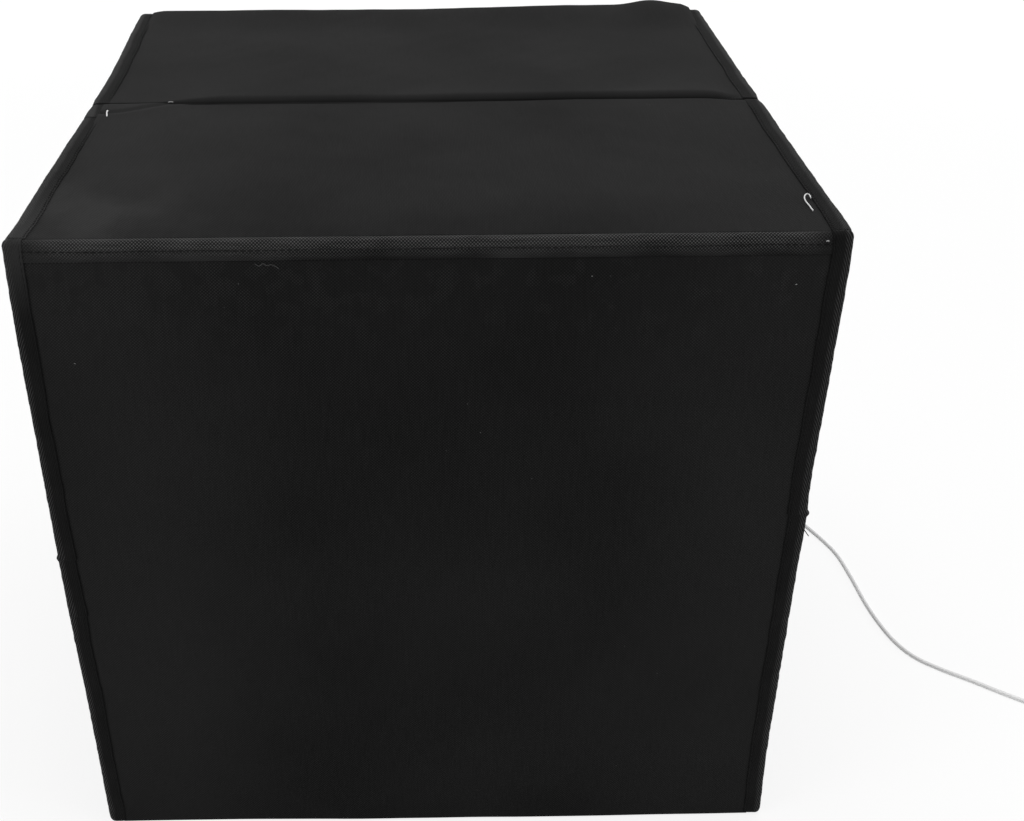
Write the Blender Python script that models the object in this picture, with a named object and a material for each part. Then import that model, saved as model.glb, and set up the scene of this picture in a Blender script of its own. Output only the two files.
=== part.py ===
"""Folding light tent cube: six stiff fabric-covered panels that fold flat, with two light bars.

X runs to the right as seen from behind, -Y points at the back panel, +Y out of the open front,
and Z is up. The origin is the middle of the footprint, on the floor.
"""

import math

import bmesh
import bpy
import numpy as np

MM = 0.001

# Overall size
WIDTH = 400.0 * MM
DEPTH = 400.0 * MM
HEIGHT = 390.0 * MM

# Build-up of a panel, from its outer face to its inner face
PANEL = 5.0 * MM
WALL = 4.6 * MM
SKIN = 0.8 * MM
LINING = 0.7 * MM
GAP = 0.3 * MM

# Folded tape that binds the side edges of the base, top and back
TAPE_LEG = 10.0 * MM
TAPE_THICK = 0.8 * MM
TAPE_WEB = 1.0 * MM
TAPE_ROUND = 2.0 * MM
SKIN_ROUND = 1.2 * MM

# Where the panels end along the depth
BACK_FACE = -DEPTH / 2
BASE_REAR = -193.5 * MM
TOP_REAR = -194.7 * MM
WALL_REAR = -192.5 * MM
WALL_FRONT = 178.0 * MM
RAIL_FRONT = 195.0 * MM
SPINE_DROP = 13.0 * MM
BACK_BOTTOM = 0.5 * MM

# Side walls fold inward on three hinge lines: foot, crease and head
HINGE_GAP = 0.5 * MM
CREASE_HALF = 1.3 * MM
CREASE_BEAD = 1.0 * MM
CREASE_PROUD = 0.4 * MM
RAIL_TALL = 10.0 * MM
WALL_OUTER = WIDTH / 2 - CREASE_PROUD
WALL_INNER = WALL_OUTER - WALL
FOOT_X = WALL_INNER - HINGE_GAP
FOOT_Z = PANEL + HINGE_GAP
HEAD_Z = HEIGHT - PANEL - GAP - RAIL_TALL - HINGE_GAP
CREASE_X = WIDTH / 2
CREASE_Z = (FOOT_Z + HEAD_Z) / 2

# Top hatch and back flap
HATCH_GAP = 1.0 * MM
SEAM_BEAD = 0.5 * MM
SEAM_DROP = 0.7 * MM
SPINE_Y = BACK_FACE + PANEL / 2
SPINE_Z = HEIGHT - PANEL / 2

# Light bars under the top
BAR_LONG = 300.0 * MM
BAR_WIDE = 12.0 * MM
BAR_TALL = 9.4 * MM
BAR_WALL = 1.0 * MM
BAR_FRONT_Y = 165.0 * MM
BAR_REAR_Y = -60.0 * MM
STRIP_THICK = 1.0 * MM
LENS_THICK = 1.2 * MM
LENS_RISE = 1.6 * MM

# Hook-and-loop strips down the rear edges
GRIP_THICK = 0.8 * MM
GRIP_WIDE = 3.8 * MM
GRIP_LOW = 60.0 * MM
GRIP_HIGH = 170.0 * MM

# Dimmer box at the front right corner of the base
BOX_X = (168.0 * MM, 198.0 * MM)
BOX_Y = (180.5 * MM, 197.0 * MM)
BOX_LOW = PANEL + GAP
BOX_TOP = 15.5 * MM
BOX_WALL = 1.4 * MM
LID_THICK = 1.6 * MM
WHEEL_X = 181.0 * MM
WHEEL_Y = 190.6 * MM
WHEEL_R = 8.4 * MM
WHEEL_THICK = 3.0 * MM
KNURL = 0.35 * MM
KNURLS = 24
PIN_R = 1.5 * MM
WHEEL_LOW = BOX_LOW + LID_THICK + 0.6 * MM
LEAD_HOLE_R = 2.4 * MM

# Low-voltage lead, from the dimmer box along the floor to a coil and a plug
LEAD_D = 3.0 * MM
LEAD_R = LEAD_D / 2
EXIT_X = 212.3 * MM
EXIT_Y = 188.5 * MM
EXIT_Z = 10.6 * MM
RELIEF_R = (3.0 * MM, 1.95 * MM)
LEAD_STEP = 7.0 * MM
COIL_ENTRY = (440.0 * MM, -131.0 * MM)
COIL_HEADING = math.radians(-29.5)
COIL_MEAN_R = 18.0 * MM
COIL_PITCH = 3.5 * MM
COIL_LIFT = 0.9 * MM
COIL_TURNS = 4.4375
COIL_CLIMB_TURNS = 0.5
LOOP_POINTS = 24
TAIL = 28.0 * MM
PLUG_BODY = (20.0 * MM, 12.4 * MM, 7.4 * MM)
PLUG_SHELL = (14.0 * MM, 12.0 * MM, 4.5 * MM)
PLUG_SHELL_WALL = 0.5 * MM
TIE_WIDE = 6.0 * MM
TIE_THICK = 0.6 * MM

# The lead's route over the floor, chosen by hand from where it shows
ROUTE = [
    (EXIT_X, EXIT_Y, EXIT_Z),
    (219.0 * MM, 188.5 * MM, 10.3 * MM),
    (229.0 * MM, 187.3 * MM, 8.0 * MM),
    (241.0 * MM, 183.0 * MM, 4.2 * MM),
    (253.0 * MM, 175.5 * MM, 1.9 * MM),
    (266.0 * MM, 163.5 * MM, LEAD_R),
    (281.0 * MM, 145.0 * MM, LEAD_R),
    (294.0 * MM, 121.0 * MM, LEAD_R),
    (304.7 * MM, 95.5 * MM, LEAD_R),
    (313.0 * MM, 76.5 * MM, LEAD_R),
    (319.3 * MM, 57.0 * MM, LEAD_R),
    (322.5 * MM, 29.0 * MM, LEAD_R),
    (324.8 * MM, -3.0 * MM, LEAD_R),
    (328.6 * MM, -27.7 * MM, LEAD_R),
    (334.2 * MM, -47.5 * MM, LEAD_R),
    (343.0 * MM, -63.0 * MM, LEAD_R),
    (357.0 * MM, -75.5 * MM, LEAD_R),
    (374.0 * MM, -87.4 * MM, LEAD_R),
    (390.0 * MM, -99.4 * MM, LEAD_R),
    (405.0 * MM, -110.0 * MM, LEAD_R),
    (422.0 * MM, -120.6 * MM, 1.7 * MM),
]


def clear_scene():
    """Remove every object of the file that this runs in."""
    for old in list(bpy.data.objects):
        bpy.data.objects.remove(old, do_unlink=True)


def material(name, colour, roughness, metallic=0.0):
    """A Principled material; each object gets its own."""
    made = bpy.data.materials.new(name)
    made.use_nodes = True
    shader = made.node_tree.nodes["Principled BSDF"]
    shader.inputs["Base Color"].default_value = (*colour, 1.0)
    shader.inputs["Roughness"].default_value = roughness
    shader.inputs["Metallic"].default_value = metallic
    made.diffuse_color = (*colour, 1.0)
    return made


FINISHES = {
    "fabric": ((0.013, 0.013, 0.014), 0.75, 0.0),
    "tape": ((0.017, 0.017, 0.018), 0.8, 0.0),
    "board": ((0.09, 0.09, 0.095), 0.6, 0.0),
    "lining": ((0.62, 0.63, 0.65), 0.32, 0.35),
    "plastic": ((0.02, 0.02, 0.021), 0.42, 0.0),
    "aluminium": ((0.72, 0.73, 0.74), 0.35, 0.9),
    "lens": ((0.86, 0.87, 0.86), 0.3, 0.0),
    "strip": ((0.85, 0.84, 0.78), 0.5, 0.0),
    "lead": ((0.72, 0.72, 0.71), 0.45, 0.0),
    "plug_metal": ((0.68, 0.68, 0.7), 0.28, 1.0),
    "grip": ((0.02, 0.02, 0.022), 0.95, 0.0),
}

HINGES = {}


def hinge(name, point, parent=None):
    """An empty on a joint's axis, which carries the pieces that turn there."""
    empty = bpy.data.objects.new(name, None)
    empty.empty_display_size = 0.02
    bpy.context.collection.objects.link(empty)
    origin = np.array(point, float)
    HINGES[name] = origin
    if parent:
        empty.parent = bpy.data.objects[parent]
        empty.location = origin - HINGES[parent]
    else:
        empty.location = origin
    return empty


def attach(obj, on):
    """Hang an object made in world coordinates on a hinge empty."""
    if on:
        obj.parent = bpy.data.objects[on]
        obj.location = -HINGES[on]


def add_mesh(name, bm, finish, on=None, smooth=None):
    """Turn a bmesh into a named object with outward faces and its own material."""
    bmesh.ops.recalc_face_normals(bm, faces=bm.faces)
    mesh = bpy.data.meshes.new(name)
    bm.to_mesh(mesh)
    bm.free()
    if smooth is not None:
        mesh.shade_smooth()
        mesh.set_sharp_from_angle(angle=math.radians(smooth))
    obj = bpy.data.objects.new(name, mesh)
    bpy.context.collection.objects.link(obj)
    if finish:
        mesh.materials.append(material(name + "_finish", *FINISHES[finish]))
    attach(obj, on)
    return obj


def prism(name, outline, place, start, end, finish, on=None, smooth=None):
    """Extrude a closed outline; place turns (a, b, along) into a world point."""
    bm = bmesh.new()
    near = [bm.verts.new(place(a, b, start)) for a, b in outline]
    far = [bm.verts.new(place(a, b, end)) for a, b in outline]
    bm.faces.new(near)
    bm.faces.new(far[::-1])
    count = len(outline)
    for i in range(count):
        j = (i + 1) % count
        bm.faces.new((near[i], far[i], far[j], near[j]))
    return add_mesh(name, bm, finish, on, smooth)


def block(name, x, y, z, finish, on=None, round_edge=0.0):
    """A box between two corners, with its edges rounded off if asked."""
    outline = [(x[0], y[0]), (x[1], y[0]), (x[1], y[1]), (x[0], y[1])]
    obj = prism(name, outline, lambda a, b, t: (a, b, t), z[0], z[1], finish, on)
    if round_edge:
        soften(obj, round_edge)
    return obj


def soften(obj, width, segments=2):
    """A Bevel modifier on the sharp edges."""
    bevel = obj.modifiers.new("soft_edges", "BEVEL")
    bevel.width = width
    bevel.segments = segments
    bevel.limit_method = "ANGLE"
    bevel.angle_limit = math.radians(40)


def arc(cx, cy, radius, start, end, steps):
    """Points round an arc, angles in degrees."""
    angles = np.radians(np.linspace(start, end, steps + 1))
    return [(cx + radius * math.cos(t), cy + radius * math.sin(t)) for t in angles]


def tray_outline(low, high, rim):
    """A thin channel: a plate at depth 0 whose two edges turn in to the depth of the rim."""
    r = SKIN_ROUND
    outline = arc(low + r, r, r, 180, 270, 3)
    outline += arc(high - r, r, r, 270, 360, 3)
    outline += [(high, rim), (high - SKIN, rim), (high - SKIN, SKIN)]
    outline += [(low + SKIN, SKIN), (low + SKIN, rim), (low, rim)]
    return outline


def tape_outline(side, edge, leg):
    """Folded tape round a panel's side edge, as (across, depth); side is -1 left or 1 right."""
    r = TAPE_ROUND
    outline = [(edge - leg, 0.0)]
    outline += arc(edge - r, r, r, 270, 360, 4)
    outline += arc(edge - r, PANEL - r, r, 0, 90, 4)
    outline += [(edge - leg, PANEL), (edge - leg, PANEL - LINING)]
    outline += [(edge - TAPE_WEB, PANEL - LINING), (edge - TAPE_WEB, TAPE_THICK)]
    outline += [(edge - leg, TAPE_THICK)]
    return [(side * a, b) for a, b in outline]


def top_place(across, along, depth):
    return (across, along, HEIGHT - depth)


def base_place(across, along, depth):
    return (across, along, depth)


def back_place(across, along, depth):
    return (across, BACK_FACE + depth, along)


def bound_panel(prefix, place, low, high, on):
    """Skin, board, lining and two bound edges of a panel; low and high are its open edges."""
    skin_half = WIDTH / 2 - TAPE_LEG - GAP
    board_half = WIDTH / 2 - TAPE_WEB - GAP
    rim = PANEL - LINING - GAP
    prism(
        prefix + "_skin",
        tray_outline(low, high, rim),
        lambda a, b, t: place(t, a, b),
        -skin_half,
        skin_half,
        "fabric",
        on,
        35,
    )
    edge = SKIN + GAP
    board = [(low + edge, SKIN + GAP), (high - edge, SKIN + GAP), (high - edge, rim), (low + edge, rim)]
    prism(prefix + "_board", board, lambda a, b, t: place(t, a, b), -board_half, board_half, "board", on)
    lining = [(low, PANEL - LINING), (high, PANEL - LINING), (high, PANEL), (low, PANEL)]
    prism(prefix + "_lining", lining, lambda a, b, t: place(t, a, b), -skin_half, skin_half, "lining", on)
    for side, word in ((-1, "left"), (1, "right")):
        prism(
            f"{prefix}_binding_{word}",
            tape_outline(side, WIDTH / 2, TAPE_LEG),
            lambda a, b, t: place(a, t, b),
            low,
            high,
            "tape",
            on,
            35,
        )


def wall_panel(prefix, side, low, high, on):
    """Half of a side wall, between its heights; its skin turns in at the front and rear edges."""

    def place(along, depth, up):
        return (side * (WALL_OUTER - depth), along, up)

    rim = WALL - LINING - GAP
    prism(
        prefix + "_skin",
        tray_outline(WALL_REAR, WALL_FRONT, rim),
        place,
        low,
        high,
        "fabric",
        on,
        35,
    )
    edge = SKIN + GAP
    rear, front = WALL_REAR + edge, WALL_FRONT - edge
    board = [(rear, SKIN + GAP), (front, SKIN + GAP), (front, rim), (rear, rim)]
    prism(prefix + "_board", board, place, low, high, "board", on)
    rear, front = WALL_REAR, WALL_FRONT
    lining = [(rear, WALL - LINING), (front, WALL - LINING), (front, WALL), (rear, WALL)]
    prism(prefix + "_lining", lining, place, low, high, "lining", on)


def bead(name, radius, place, start, end, on):
    """A round cord of fabric along a crease."""
    outline = arc(0.0, 0.0, radius, 0, 330, 11)
    prism(name, outline, place, start, end, "fabric", on, 40)


def light_bar(prefix, y, on):
    """A channel under the top with its strip of lamps and its lens."""
    top = HEIGHT - PANEL - GAP
    low = top - BAR_TALL
    half = BAR_WIDE / 2
    inner = half - BAR_WALL

    def place(a, b, t):
        return (t, y + a, b)

    channel = [(-half, low), (-half, top), (half, top), (half, low)]
    channel += [(inner, low), (inner, top - BAR_WALL), (-inner, top - BAR_WALL), (-inner, low)]
    ends = BAR_LONG / 2
    housing = prism(prefix + "_housing", channel, place, -ends, ends, "aluminium", on)
    soften(housing, 0.25 * MM, 1)
    strip_top = top - BAR_WALL - GAP
    strip = inner - GAP
    outline = [(-strip, strip_top - STRIP_THICK), (strip, strip_top - STRIP_THICK), (strip, strip_top)]
    outline += [(-strip, strip_top)]
    inset = ends - 2 * MM
    prism(prefix + "_strip", outline, place, -inset, inset, "strip", on)
    lens_low = low + LENS_RISE
    across = np.linspace(-strip, strip, 9)
    drop = LENS_RISE * (1 - (across / strip) ** 2)
    lens = [(a, lens_low - d) for a, d in zip(across, drop)]
    lens += [(a, lens_low - d + LENS_THICK) for a, d in zip(across[::-1], drop[::-1])]
    prism(prefix + "_lens", lens, place, -inset, inset, "lens", on, 40)


def cut(obj, cutter):
    """Take a hidden cutter out of an object."""
    cutter.hide_render = True
    cutter.display_type = "WIRE"
    boolean = obj.modifiers.new("cut_" + cutter.name, "BOOLEAN")
    boolean.operation = "DIFFERENCE"
    boolean.solver = "EXACT"
    boolean.object = cutter


def turned(name, rings, centre, sides, finish, on=None, smooth=35, bore=None, wave=0.0, waves=0):
    """Stack rings of (radius, height) round a vertical axis, with a bore if asked."""
    bm = bmesh.new()
    loops = []
    profile = list(rings)
    if bore:
        profile = [(bore, rings[0][1])] + profile + [(bore, rings[-1][1])]
    for radius, height in profile:
        loop = []
        for k in range(sides):
            turn = 2 * math.pi * k / sides
            ripple = 0.0 if radius == bore else wave * math.cos(waves * turn)
            reach = radius + ripple
            x = centre[0] + reach * math.cos(turn)
            y = centre[1] + reach * math.sin(turn)
            loop.append(bm.verts.new((x, y, height)))
        loops.append(loop)
    pairs = list(zip(loops[:-1], loops[1:]))
    if bore:
        pairs.append((loops[-1], loops[0]))
    else:
        bm.faces.new(loops[0])
        bm.faces.new(loops[-1])
    for lower, upper in pairs:
        for k in range(sides):
            j = (k + 1) % sides
            bm.faces.new((lower[k], lower[j], upper[j], upper[k]))
    return add_mesh(name, bm, finish, on, smooth)


def dimmer_box():
    """The dimmer: lid plate with a pin, hollow cover, knurled wheel and its small circuit board."""
    lid_top = BOX_LOW + LID_THICK
    lid = block("dimmer_floor", BOX_X, BOX_Y, (BOX_LOW, lid_top), "plastic", None, 0.3 * MM)
    pin_top = BOX_TOP - BOX_WALL - 0.6 * MM
    pin = turned("pin_shape", [(PIN_R, BOX_LOW + 0.5 * MM), (PIN_R, pin_top)], (WHEEL_X, WHEEL_Y), 16, None)
    join = lid.modifiers.new("pin", "BOOLEAN")
    join.operation = "UNION"
    join.solver = "EXACT"
    join.object = pin
    pin.hide_render = True
    pin.display_type = "WIRE"

    cover_low = lid_top + GAP
    cover = block("dimmer_cover", BOX_X, BOX_Y, (cover_low, BOX_TOP), "plastic", None, 0.8 * MM)
    under = cover_low - 1 * MM
    roof = BOX_TOP - BOX_WALL
    hollow_x = (BOX_X[0] + BOX_WALL, BOX_X[1] - BOX_WALL)
    hollow_y = (BOX_Y[0] + BOX_WALL, BOX_Y[1] - BOX_WALL)
    cut(cover, block("cover_hollow", hollow_x, hollow_y, (under, roof), None))
    room = WHEEL_R + KNURL + 0.5 * MM
    slot_top = WHEEL_LOW + WHEEL_THICK + 0.5 * MM
    cut(cover, turned("wheel_slot", [(room, under), (room, slot_top)], (WHEEL_X, WHEEL_Y), 32, None))
    hole = arc(EXIT_Y, EXIT_Z, LEAD_HOLE_R, 0, 337.5, 15)
    cutter = prism("lead_hole", hole, lambda a, b, t: (t, a, b), 190 * MM, 200 * MM, None)
    cut(cover, cutter)

    board_x = (WHEEL_X + WHEEL_R + 1.6 * MM, hollow_x[1] - GAP)
    board_y = (hollow_y[0] + GAP, hollow_y[1] - GAP)
    low = lid_top + 0.6 * MM
    block("dimmer_circuit", board_x, board_y, (low, low + 1.2 * MM), "strip")

    hinge("dimmer_axis", (WHEEL_X, WHEEL_Y, WHEEL_LOW))
    wheel_top = WHEEL_LOW + WHEEL_THICK
    edge = 0.4 * MM
    rings = [
        (WHEEL_R - edge, WHEEL_LOW),
        (WHEEL_R, WHEEL_LOW + edge),
        (WHEEL_R, wheel_top - edge),
        (WHEEL_R - edge, wheel_top),
    ]
    turned(
        "dimmer_wheel",
        rings,
        (WHEEL_X, WHEEL_Y),
        2 * KNURLS,
        "plastic",
        "dimmer_axis",
        35,
        PIN_R + GAP,
        KNURL / 2,
        KNURLS,
    )


def strain_relief():
    """A tapered sleeve where the lead leaves the dimmer box, with three ribs."""
    start = BOX_X[1] + GAP
    length = EXIT_X - GAP - start
    rings = []
    for k in range(7):
        t = k / 6
        radius = RELIEF_R[0] + (RELIEF_R[1] - RELIEF_R[0]) * t
        rings.append((start + length * t, radius + (0.25 * MM if k % 2 == 0 else 0.0)))
    bm = bmesh.new()
    loops = []
    for x, radius in rings:
        ring = arc(EXIT_Y, EXIT_Z, radius, 0, 337.5, 15)
        loops.append([bm.verts.new((x, a, b)) for a, b in ring])
    bm.faces.new(loops[0])
    bm.faces.new(loops[-1])
    for lower, upper in zip(loops[:-1], loops[1:]):
        for k in range(16):
            j = (k + 1) % 16
            bm.faces.new((lower[k], lower[j], upper[j], upper[k]))
    add_mesh("lead_strain_relief", bm, "lead", None, 35)


def smooth_route(points, step):
    """Points a step apart on a smooth curve through the given points."""
    p = np.array(points, float)
    before, after = 2 * p[0] - p[1], 2 * p[-1] - p[-2]
    q = np.vstack([before, p, after])
    fine = []
    for i in range(1, len(q) - 2):
        for t in np.linspace(0, 1, 20, endpoint=False):
            a = 2 * q[i]
            b = q[i + 1] - q[i - 1]
            c = 2 * q[i - 1] - 5 * q[i] + 4 * q[i + 1] - q[i + 2]
            d = -q[i - 1] + 3 * q[i] - 3 * q[i + 1] + q[i + 2]
            fine.append(0.5 * (a + b * t + c * t**2 + d * t**3))
    fine.append(p[-1])
    fine = np.array(fine)
    along = np.concatenate([[0], np.cumsum(np.linalg.norm(np.diff(fine, axis=0), axis=1))])
    count = math.ceil(along[-1] / step) + 1
    at = np.linspace(0, along[-1], count)
    return np.stack([np.interp(at, along, fine[:, k]) for k in range(3)], axis=1)


def length_of(points):
    return float(np.linalg.norm(np.diff(points, axis=0), axis=1).sum())


def tube(name, points, resolution, finish):
    """A POLY curve with a round bevel and filled ends."""
    curve = bpy.data.curves.new(name, "CURVE")
    curve.dimensions = "3D"
    curve.bevel_depth = LEAD_R
    curve.bevel_resolution = resolution
    curve.use_fill_caps = True
    spline = curve.splines.new("POLY")
    spline.points.add(len(points) - 1)
    for point, place in zip(spline.points, points):
        point.co = (*place, 1.0)
    curve.materials.append(material(name + "_finish", *FINISHES[finish]))
    obj = bpy.data.objects.new(name, curve)
    bpy.context.collection.objects.link(obj)
    return obj


def coil_centre():
    """The coil turns left from its entry, so its centre lies a radius to the left."""
    outer = COIL_MEAN_R + COIL_TURNS * COIL_PITCH / 2
    left = COIL_HEADING + math.pi / 2
    x = COIL_ENTRY[0] + outer * math.cos(left)
    y = COIL_ENTRY[1] + outer * math.sin(left)
    return x, y, outer


def coil_points():
    """Spiral in on the floor, climb one layer at the middle, and spiral out on top."""
    x, y, outer = coil_centre()
    low = LEAD_R + COIL_LIFT
    reversal = COIL_TURNS + COIL_CLIMB_TURNS / 2
    total = 2 * COIL_TURNS + COIL_CLIMB_TURNS
    first = COIL_HEADING - math.pi / 2
    points = []
    for k in range(round(total * LOOP_POINTS) + 1):
        turns = k / LOOP_POINTS
        into = min(turns, reversal)
        out = max(0.0, turns - reversal)
        climb = min(max(turns - COIL_TURNS, 0.0) / COIL_CLIMB_TURNS, 1.0)
        radius = outer + COIL_PITCH * (out - into)
        angle = first + 2 * math.pi * turns
        z = low + COIL_PITCH * (0.5 - 0.5 * math.cos(math.pi * climb))
        points.append((x + radius * math.cos(angle), y + radius * math.sin(angle), z))
    return np.array(points)


def least_gap(points, diameter):
    """The smallest clear distance between stretches of one tube that aren't neighbours."""
    along = np.concatenate([[0], np.cumsum(np.linalg.norm(np.diff(points, axis=0), axis=1))])
    at = np.arange(0, along[-1], 0.5 * MM)
    fine = np.stack([np.interp(at, along, points[:, k]) for k in range(3)], axis=1)
    best = 1.0
    skip = 4 * diameter
    for i in range(0, len(fine), 2):
        far = fine[at > at[i] + skip]
        if len(far):
            best = min(best, float(np.linalg.norm(far - fine[i], axis=1).min()))
    return best - diameter


def plug_frame(tail_end, heading):
    """A place function for the plug: along the heading, across it and up."""
    forward = np.array([math.cos(heading), math.sin(heading), 0.0])
    across = np.array([-math.sin(heading), math.cos(heading), 0.0])

    def place(a, b, t):
        return tuple(np.array(tail_end) + forward * t + across * a + np.array([0, 0, b]))

    return place


def lead():
    """The lead's floor stretch, its coil with a tie, and its plug."""
    start = np.array([COIL_ENTRY[0], COIL_ENTRY[1], LEAD_R + COIL_LIFT])
    heading = np.array([math.cos(COIL_HEADING), math.sin(COIL_HEADING), 0.0])
    coil_start = start - heading * LEAD_D
    floor_end = coil_start - heading * GAP
    route = smooth_route(ROUTE + [tuple(floor_end - heading * LEAD_D), tuple(floor_end)], LEAD_STEP)
    tube("lead_floor_run", route, 2, "lead")

    loops = coil_points()
    total = 2 * COIL_TURNS + COIL_CLIMB_TURNS
    leave = COIL_HEADING + 2 * math.pi * total
    out = np.array([math.cos(leave), math.sin(leave), 0.0])
    plug_z = PLUG_BODY[2] / 2
    tail = []
    for k in range(1, 7):
        t = k / 6
        point = loops[-1] + out * TAIL * t
        ease = 0.5 - 0.5 * math.cos(math.pi * min(t / 0.8, 1.0))
        point[2] = loops[-1][2] + (plug_z - loops[-1][2]) * ease
        tail.append(point)
    points = np.vstack([coil_start, loops, tail])
    tube("lead_coil", points, 1, "lead")
    gap = least_gap(points, LEAD_D)
    whole = length_of(route) + length_of(points) + (EXIT_X - BOX_X[1])
    print(f"coil: {total:.3f} turns, least gap to itself {gap / MM:.2f} mm")
    print(f"lead: {whole:.4f} m from the dimmer box to the plug")

    place = plug_frame(tail[-1] + out * GAP, leave)
    long, wide, tall = PLUG_BODY
    outline = [(-wide / 2, -tall / 2), (wide / 2, -tall / 2), (wide / 2, tall / 2), (-wide / 2, tall / 2)]
    soften(prism("plug_body", outline, place, 0.0, long, "lead"), 1.4 * MM, 3)
    reach, wide, tall = PLUG_SHELL
    outline = [(-wide / 2, -tall / 2), (wide / 2, -tall / 2), (wide / 2, tall / 2), (-wide / 2, tall / 2)]
    shell = prism("plug_shell", outline, place, long + GAP, long + GAP + reach, "plug_metal")
    wall = PLUG_SHELL_WALL
    inner = [(a * (1 - 2 * wall / wide), b * (1 - 2 * wall / tall)) for a, b in outline]
    base = long + GAP + 2 * wall
    cut(shell, prism("shell_hollow", inner, place, base, base + reach, None))
    tongue_wide = wide / 2 - wall - 0.3 * MM
    low, high = GAP, tall / 2 - wall - 0.3 * MM
    tongue = [(-tongue_wide, low), (tongue_wide, low), (tongue_wide, high), (-tongue_wide, high)]
    prism("plug_tongue", tongue, place, base + GAP, base + reach - 3 * wall, "plastic")

    x, y, outer = coil_centre()
    tie_angle = COIL_HEADING + math.pi
    middle = COIL_MEAN_R
    half_wide = COIL_TURNS * COIL_PITCH / 2 + LEAD_R + COIL_PITCH / 2 + TIE_THICK + 0.5 * MM
    height = COIL_LIFT + COIL_PITCH + LEAD_D + TIE_THICK + GAP
    centre = (x + middle * math.cos(tie_angle), y + middle * math.sin(tie_angle))
    radial = np.array([math.cos(tie_angle), math.sin(tie_angle), 0.0])
    tangent = np.array([-math.sin(tie_angle), math.cos(tie_angle), 0.0])
    origin = np.array([centre[0], centre[1], 0.0])
    bm = bmesh.new()
    rings = []
    for side, inset in ((-1, 0.0), (1, 0.0), (1, TIE_THICK), (-1, TIE_THICK)):
        corners = []
        for a, b in (
            (-half_wide + inset, inset),
            (half_wide - inset, inset),
            (half_wide - inset, height - inset),
            (-half_wide + inset, height - inset),
        ):
            point = origin + radial * a + tangent * side * TIE_WIDE / 2 + np.array([0, 0, b])
            corners.append(bm.verts.new(point))
        rings.append(corners)
    for k in range(4):
        lower, upper = rings[k], rings[(k + 1) % 4]
        for i in range(4):
            j = (i + 1) % 4
            bm.faces.new((lower[i], lower[j], upper[j], upper[i]))
    add_mesh("coil_tie", bm, "grip")


def base():
    bound_panel("base", base_place, BASE_REAR, DEPTH / 2, None)
    dimmer_box()
    strain_relief()


def walls():
    for side, word in ((-1, "left"), (1, "right")):
        lower, upper = f"{word}_foot_axis", f"{word}_crease_axis"
        hinge(lower, (side * FOOT_X, 0, FOOT_Z))
        hinge(upper, (side * CREASE_X, 0, CREASE_Z), lower)
        wall_panel(f"{word}_lower", side, FOOT_Z, CREASE_Z - CREASE_HALF, lower)
        wall_panel(f"{word}_upper", side, CREASE_Z + CREASE_HALF, HEAD_Z, upper)

        def crease_place(a, b, t, side=side):
            return (side * CREASE_X + a, t, CREASE_Z + b)

        bead(f"{word}_crease_bead", CREASE_BEAD, crease_place, WALL_REAR + 2 * MM, WALL_FRONT - 2 * MM, lower)
        outer = side * (WALL_OUTER - (WALL - GRIP_WIDE) / 2)
        inner = outer - side * GRIP_WIDE
        x = (min(outer, inner), max(outer, inner))
        loop_y = (WALL_REAR - GAP - GRIP_THICK, WALL_REAR - GAP)
        block(f"{word}_loop_strip", x, loop_y, (GRIP_LOW, GRIP_HIGH), "grip", lower)


def top():
    hinge("top_axis", (-FOOT_X, 0, HEAD_Z), "left_crease_axis")
    hinge("hatch_axis", (0, 0, HEIGHT), "top_axis")
    bound_panel("top_rear", top_place, TOP_REAR, -HATCH_GAP, "top_axis")
    bound_panel("top_front", top_place, HATCH_GAP, DEPTH / 2, "hatch_axis")
    bead(
        "top_seam_bead",
        SEAM_BEAD,
        lambda a, b, t: (t, a, HEIGHT - SEAM_DROP + b),
        -WIDTH / 2 + TAPE_LEG,
        WIDTH / 2 - TAPE_LEG,
        "top_axis",
    )
    rail_top = HEIGHT - PANEL - GAP
    for side, word in ((-1, "left"), (1, "right")):
        x = sorted((side * WALL_OUTER, side * WALL_INNER))
        z = (rail_top - RAIL_TALL, rail_top)
        block(f"top_rail_{word}", x, (TOP_REAR + 1.2 * MM, RAIL_FRONT), z, "fabric", "top_axis", 0.8 * MM)
    light_bar("rear_light", BAR_REAR_Y, "top_axis")
    light_bar("front_light", BAR_FRONT_Y, "hatch_axis")


def back():
    hinge("spine_axis", (0, SPINE_Y, SPINE_Z), "top_axis")
    board_top = HEIGHT - SPINE_DROP - GAP
    bound_panel("back", back_place, BACK_BOTTOM, board_top, "spine_axis")
    outline = [(BACK_FACE + PANEL, HEIGHT - SPINE_DROP), (BACK_FACE, HEIGHT - SPINE_DROP)]
    outline += arc(SPINE_Y, SPINE_Z, PANEL / 2, 180, 0, 8)
    prism(
        "spine_band",
        outline,
        lambda a, b, t: (t, a, b),
        -WIDTH / 2,
        WIDTH / 2,
        "fabric",
        "spine_axis",
        40,
    )
    hook_y = (BACK_FACE + PANEL + GAP, BACK_FACE + PANEL + GAP + GRIP_THICK)
    for side, word in ((-1, "left"), (1, "right")):
        outer = side * (WALL_OUTER - (WALL - GRIP_WIDE) / 2)
        x = sorted((outer, outer - side * GRIP_WIDE))
        block(f"{word}_hook_strip", x, hook_y, (GRIP_LOW, GRIP_HIGH), "grip", "spine_axis")


def main():
    clear_scene()
    base()
    walls()
    top()
    back()
    lead()


main()
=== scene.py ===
# %% [markdown]
# This lesson dresses a folding light tent cube: six stiff panels covered in black fabric, bound
# with tape along their side edges, lined in silver, with two light bars and a thin lead on the
# floor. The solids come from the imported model, which fixes every size and every joint. They could
# simply be coloured, but cloth, tape and thread need finer shapes than a solid has. So each soft
# piece is made anew over its solid and rides on the same body.

# %% Load the fixed frame
import math

import bpy
import numpy as np
from mathutils import Matrix, Vector


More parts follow.
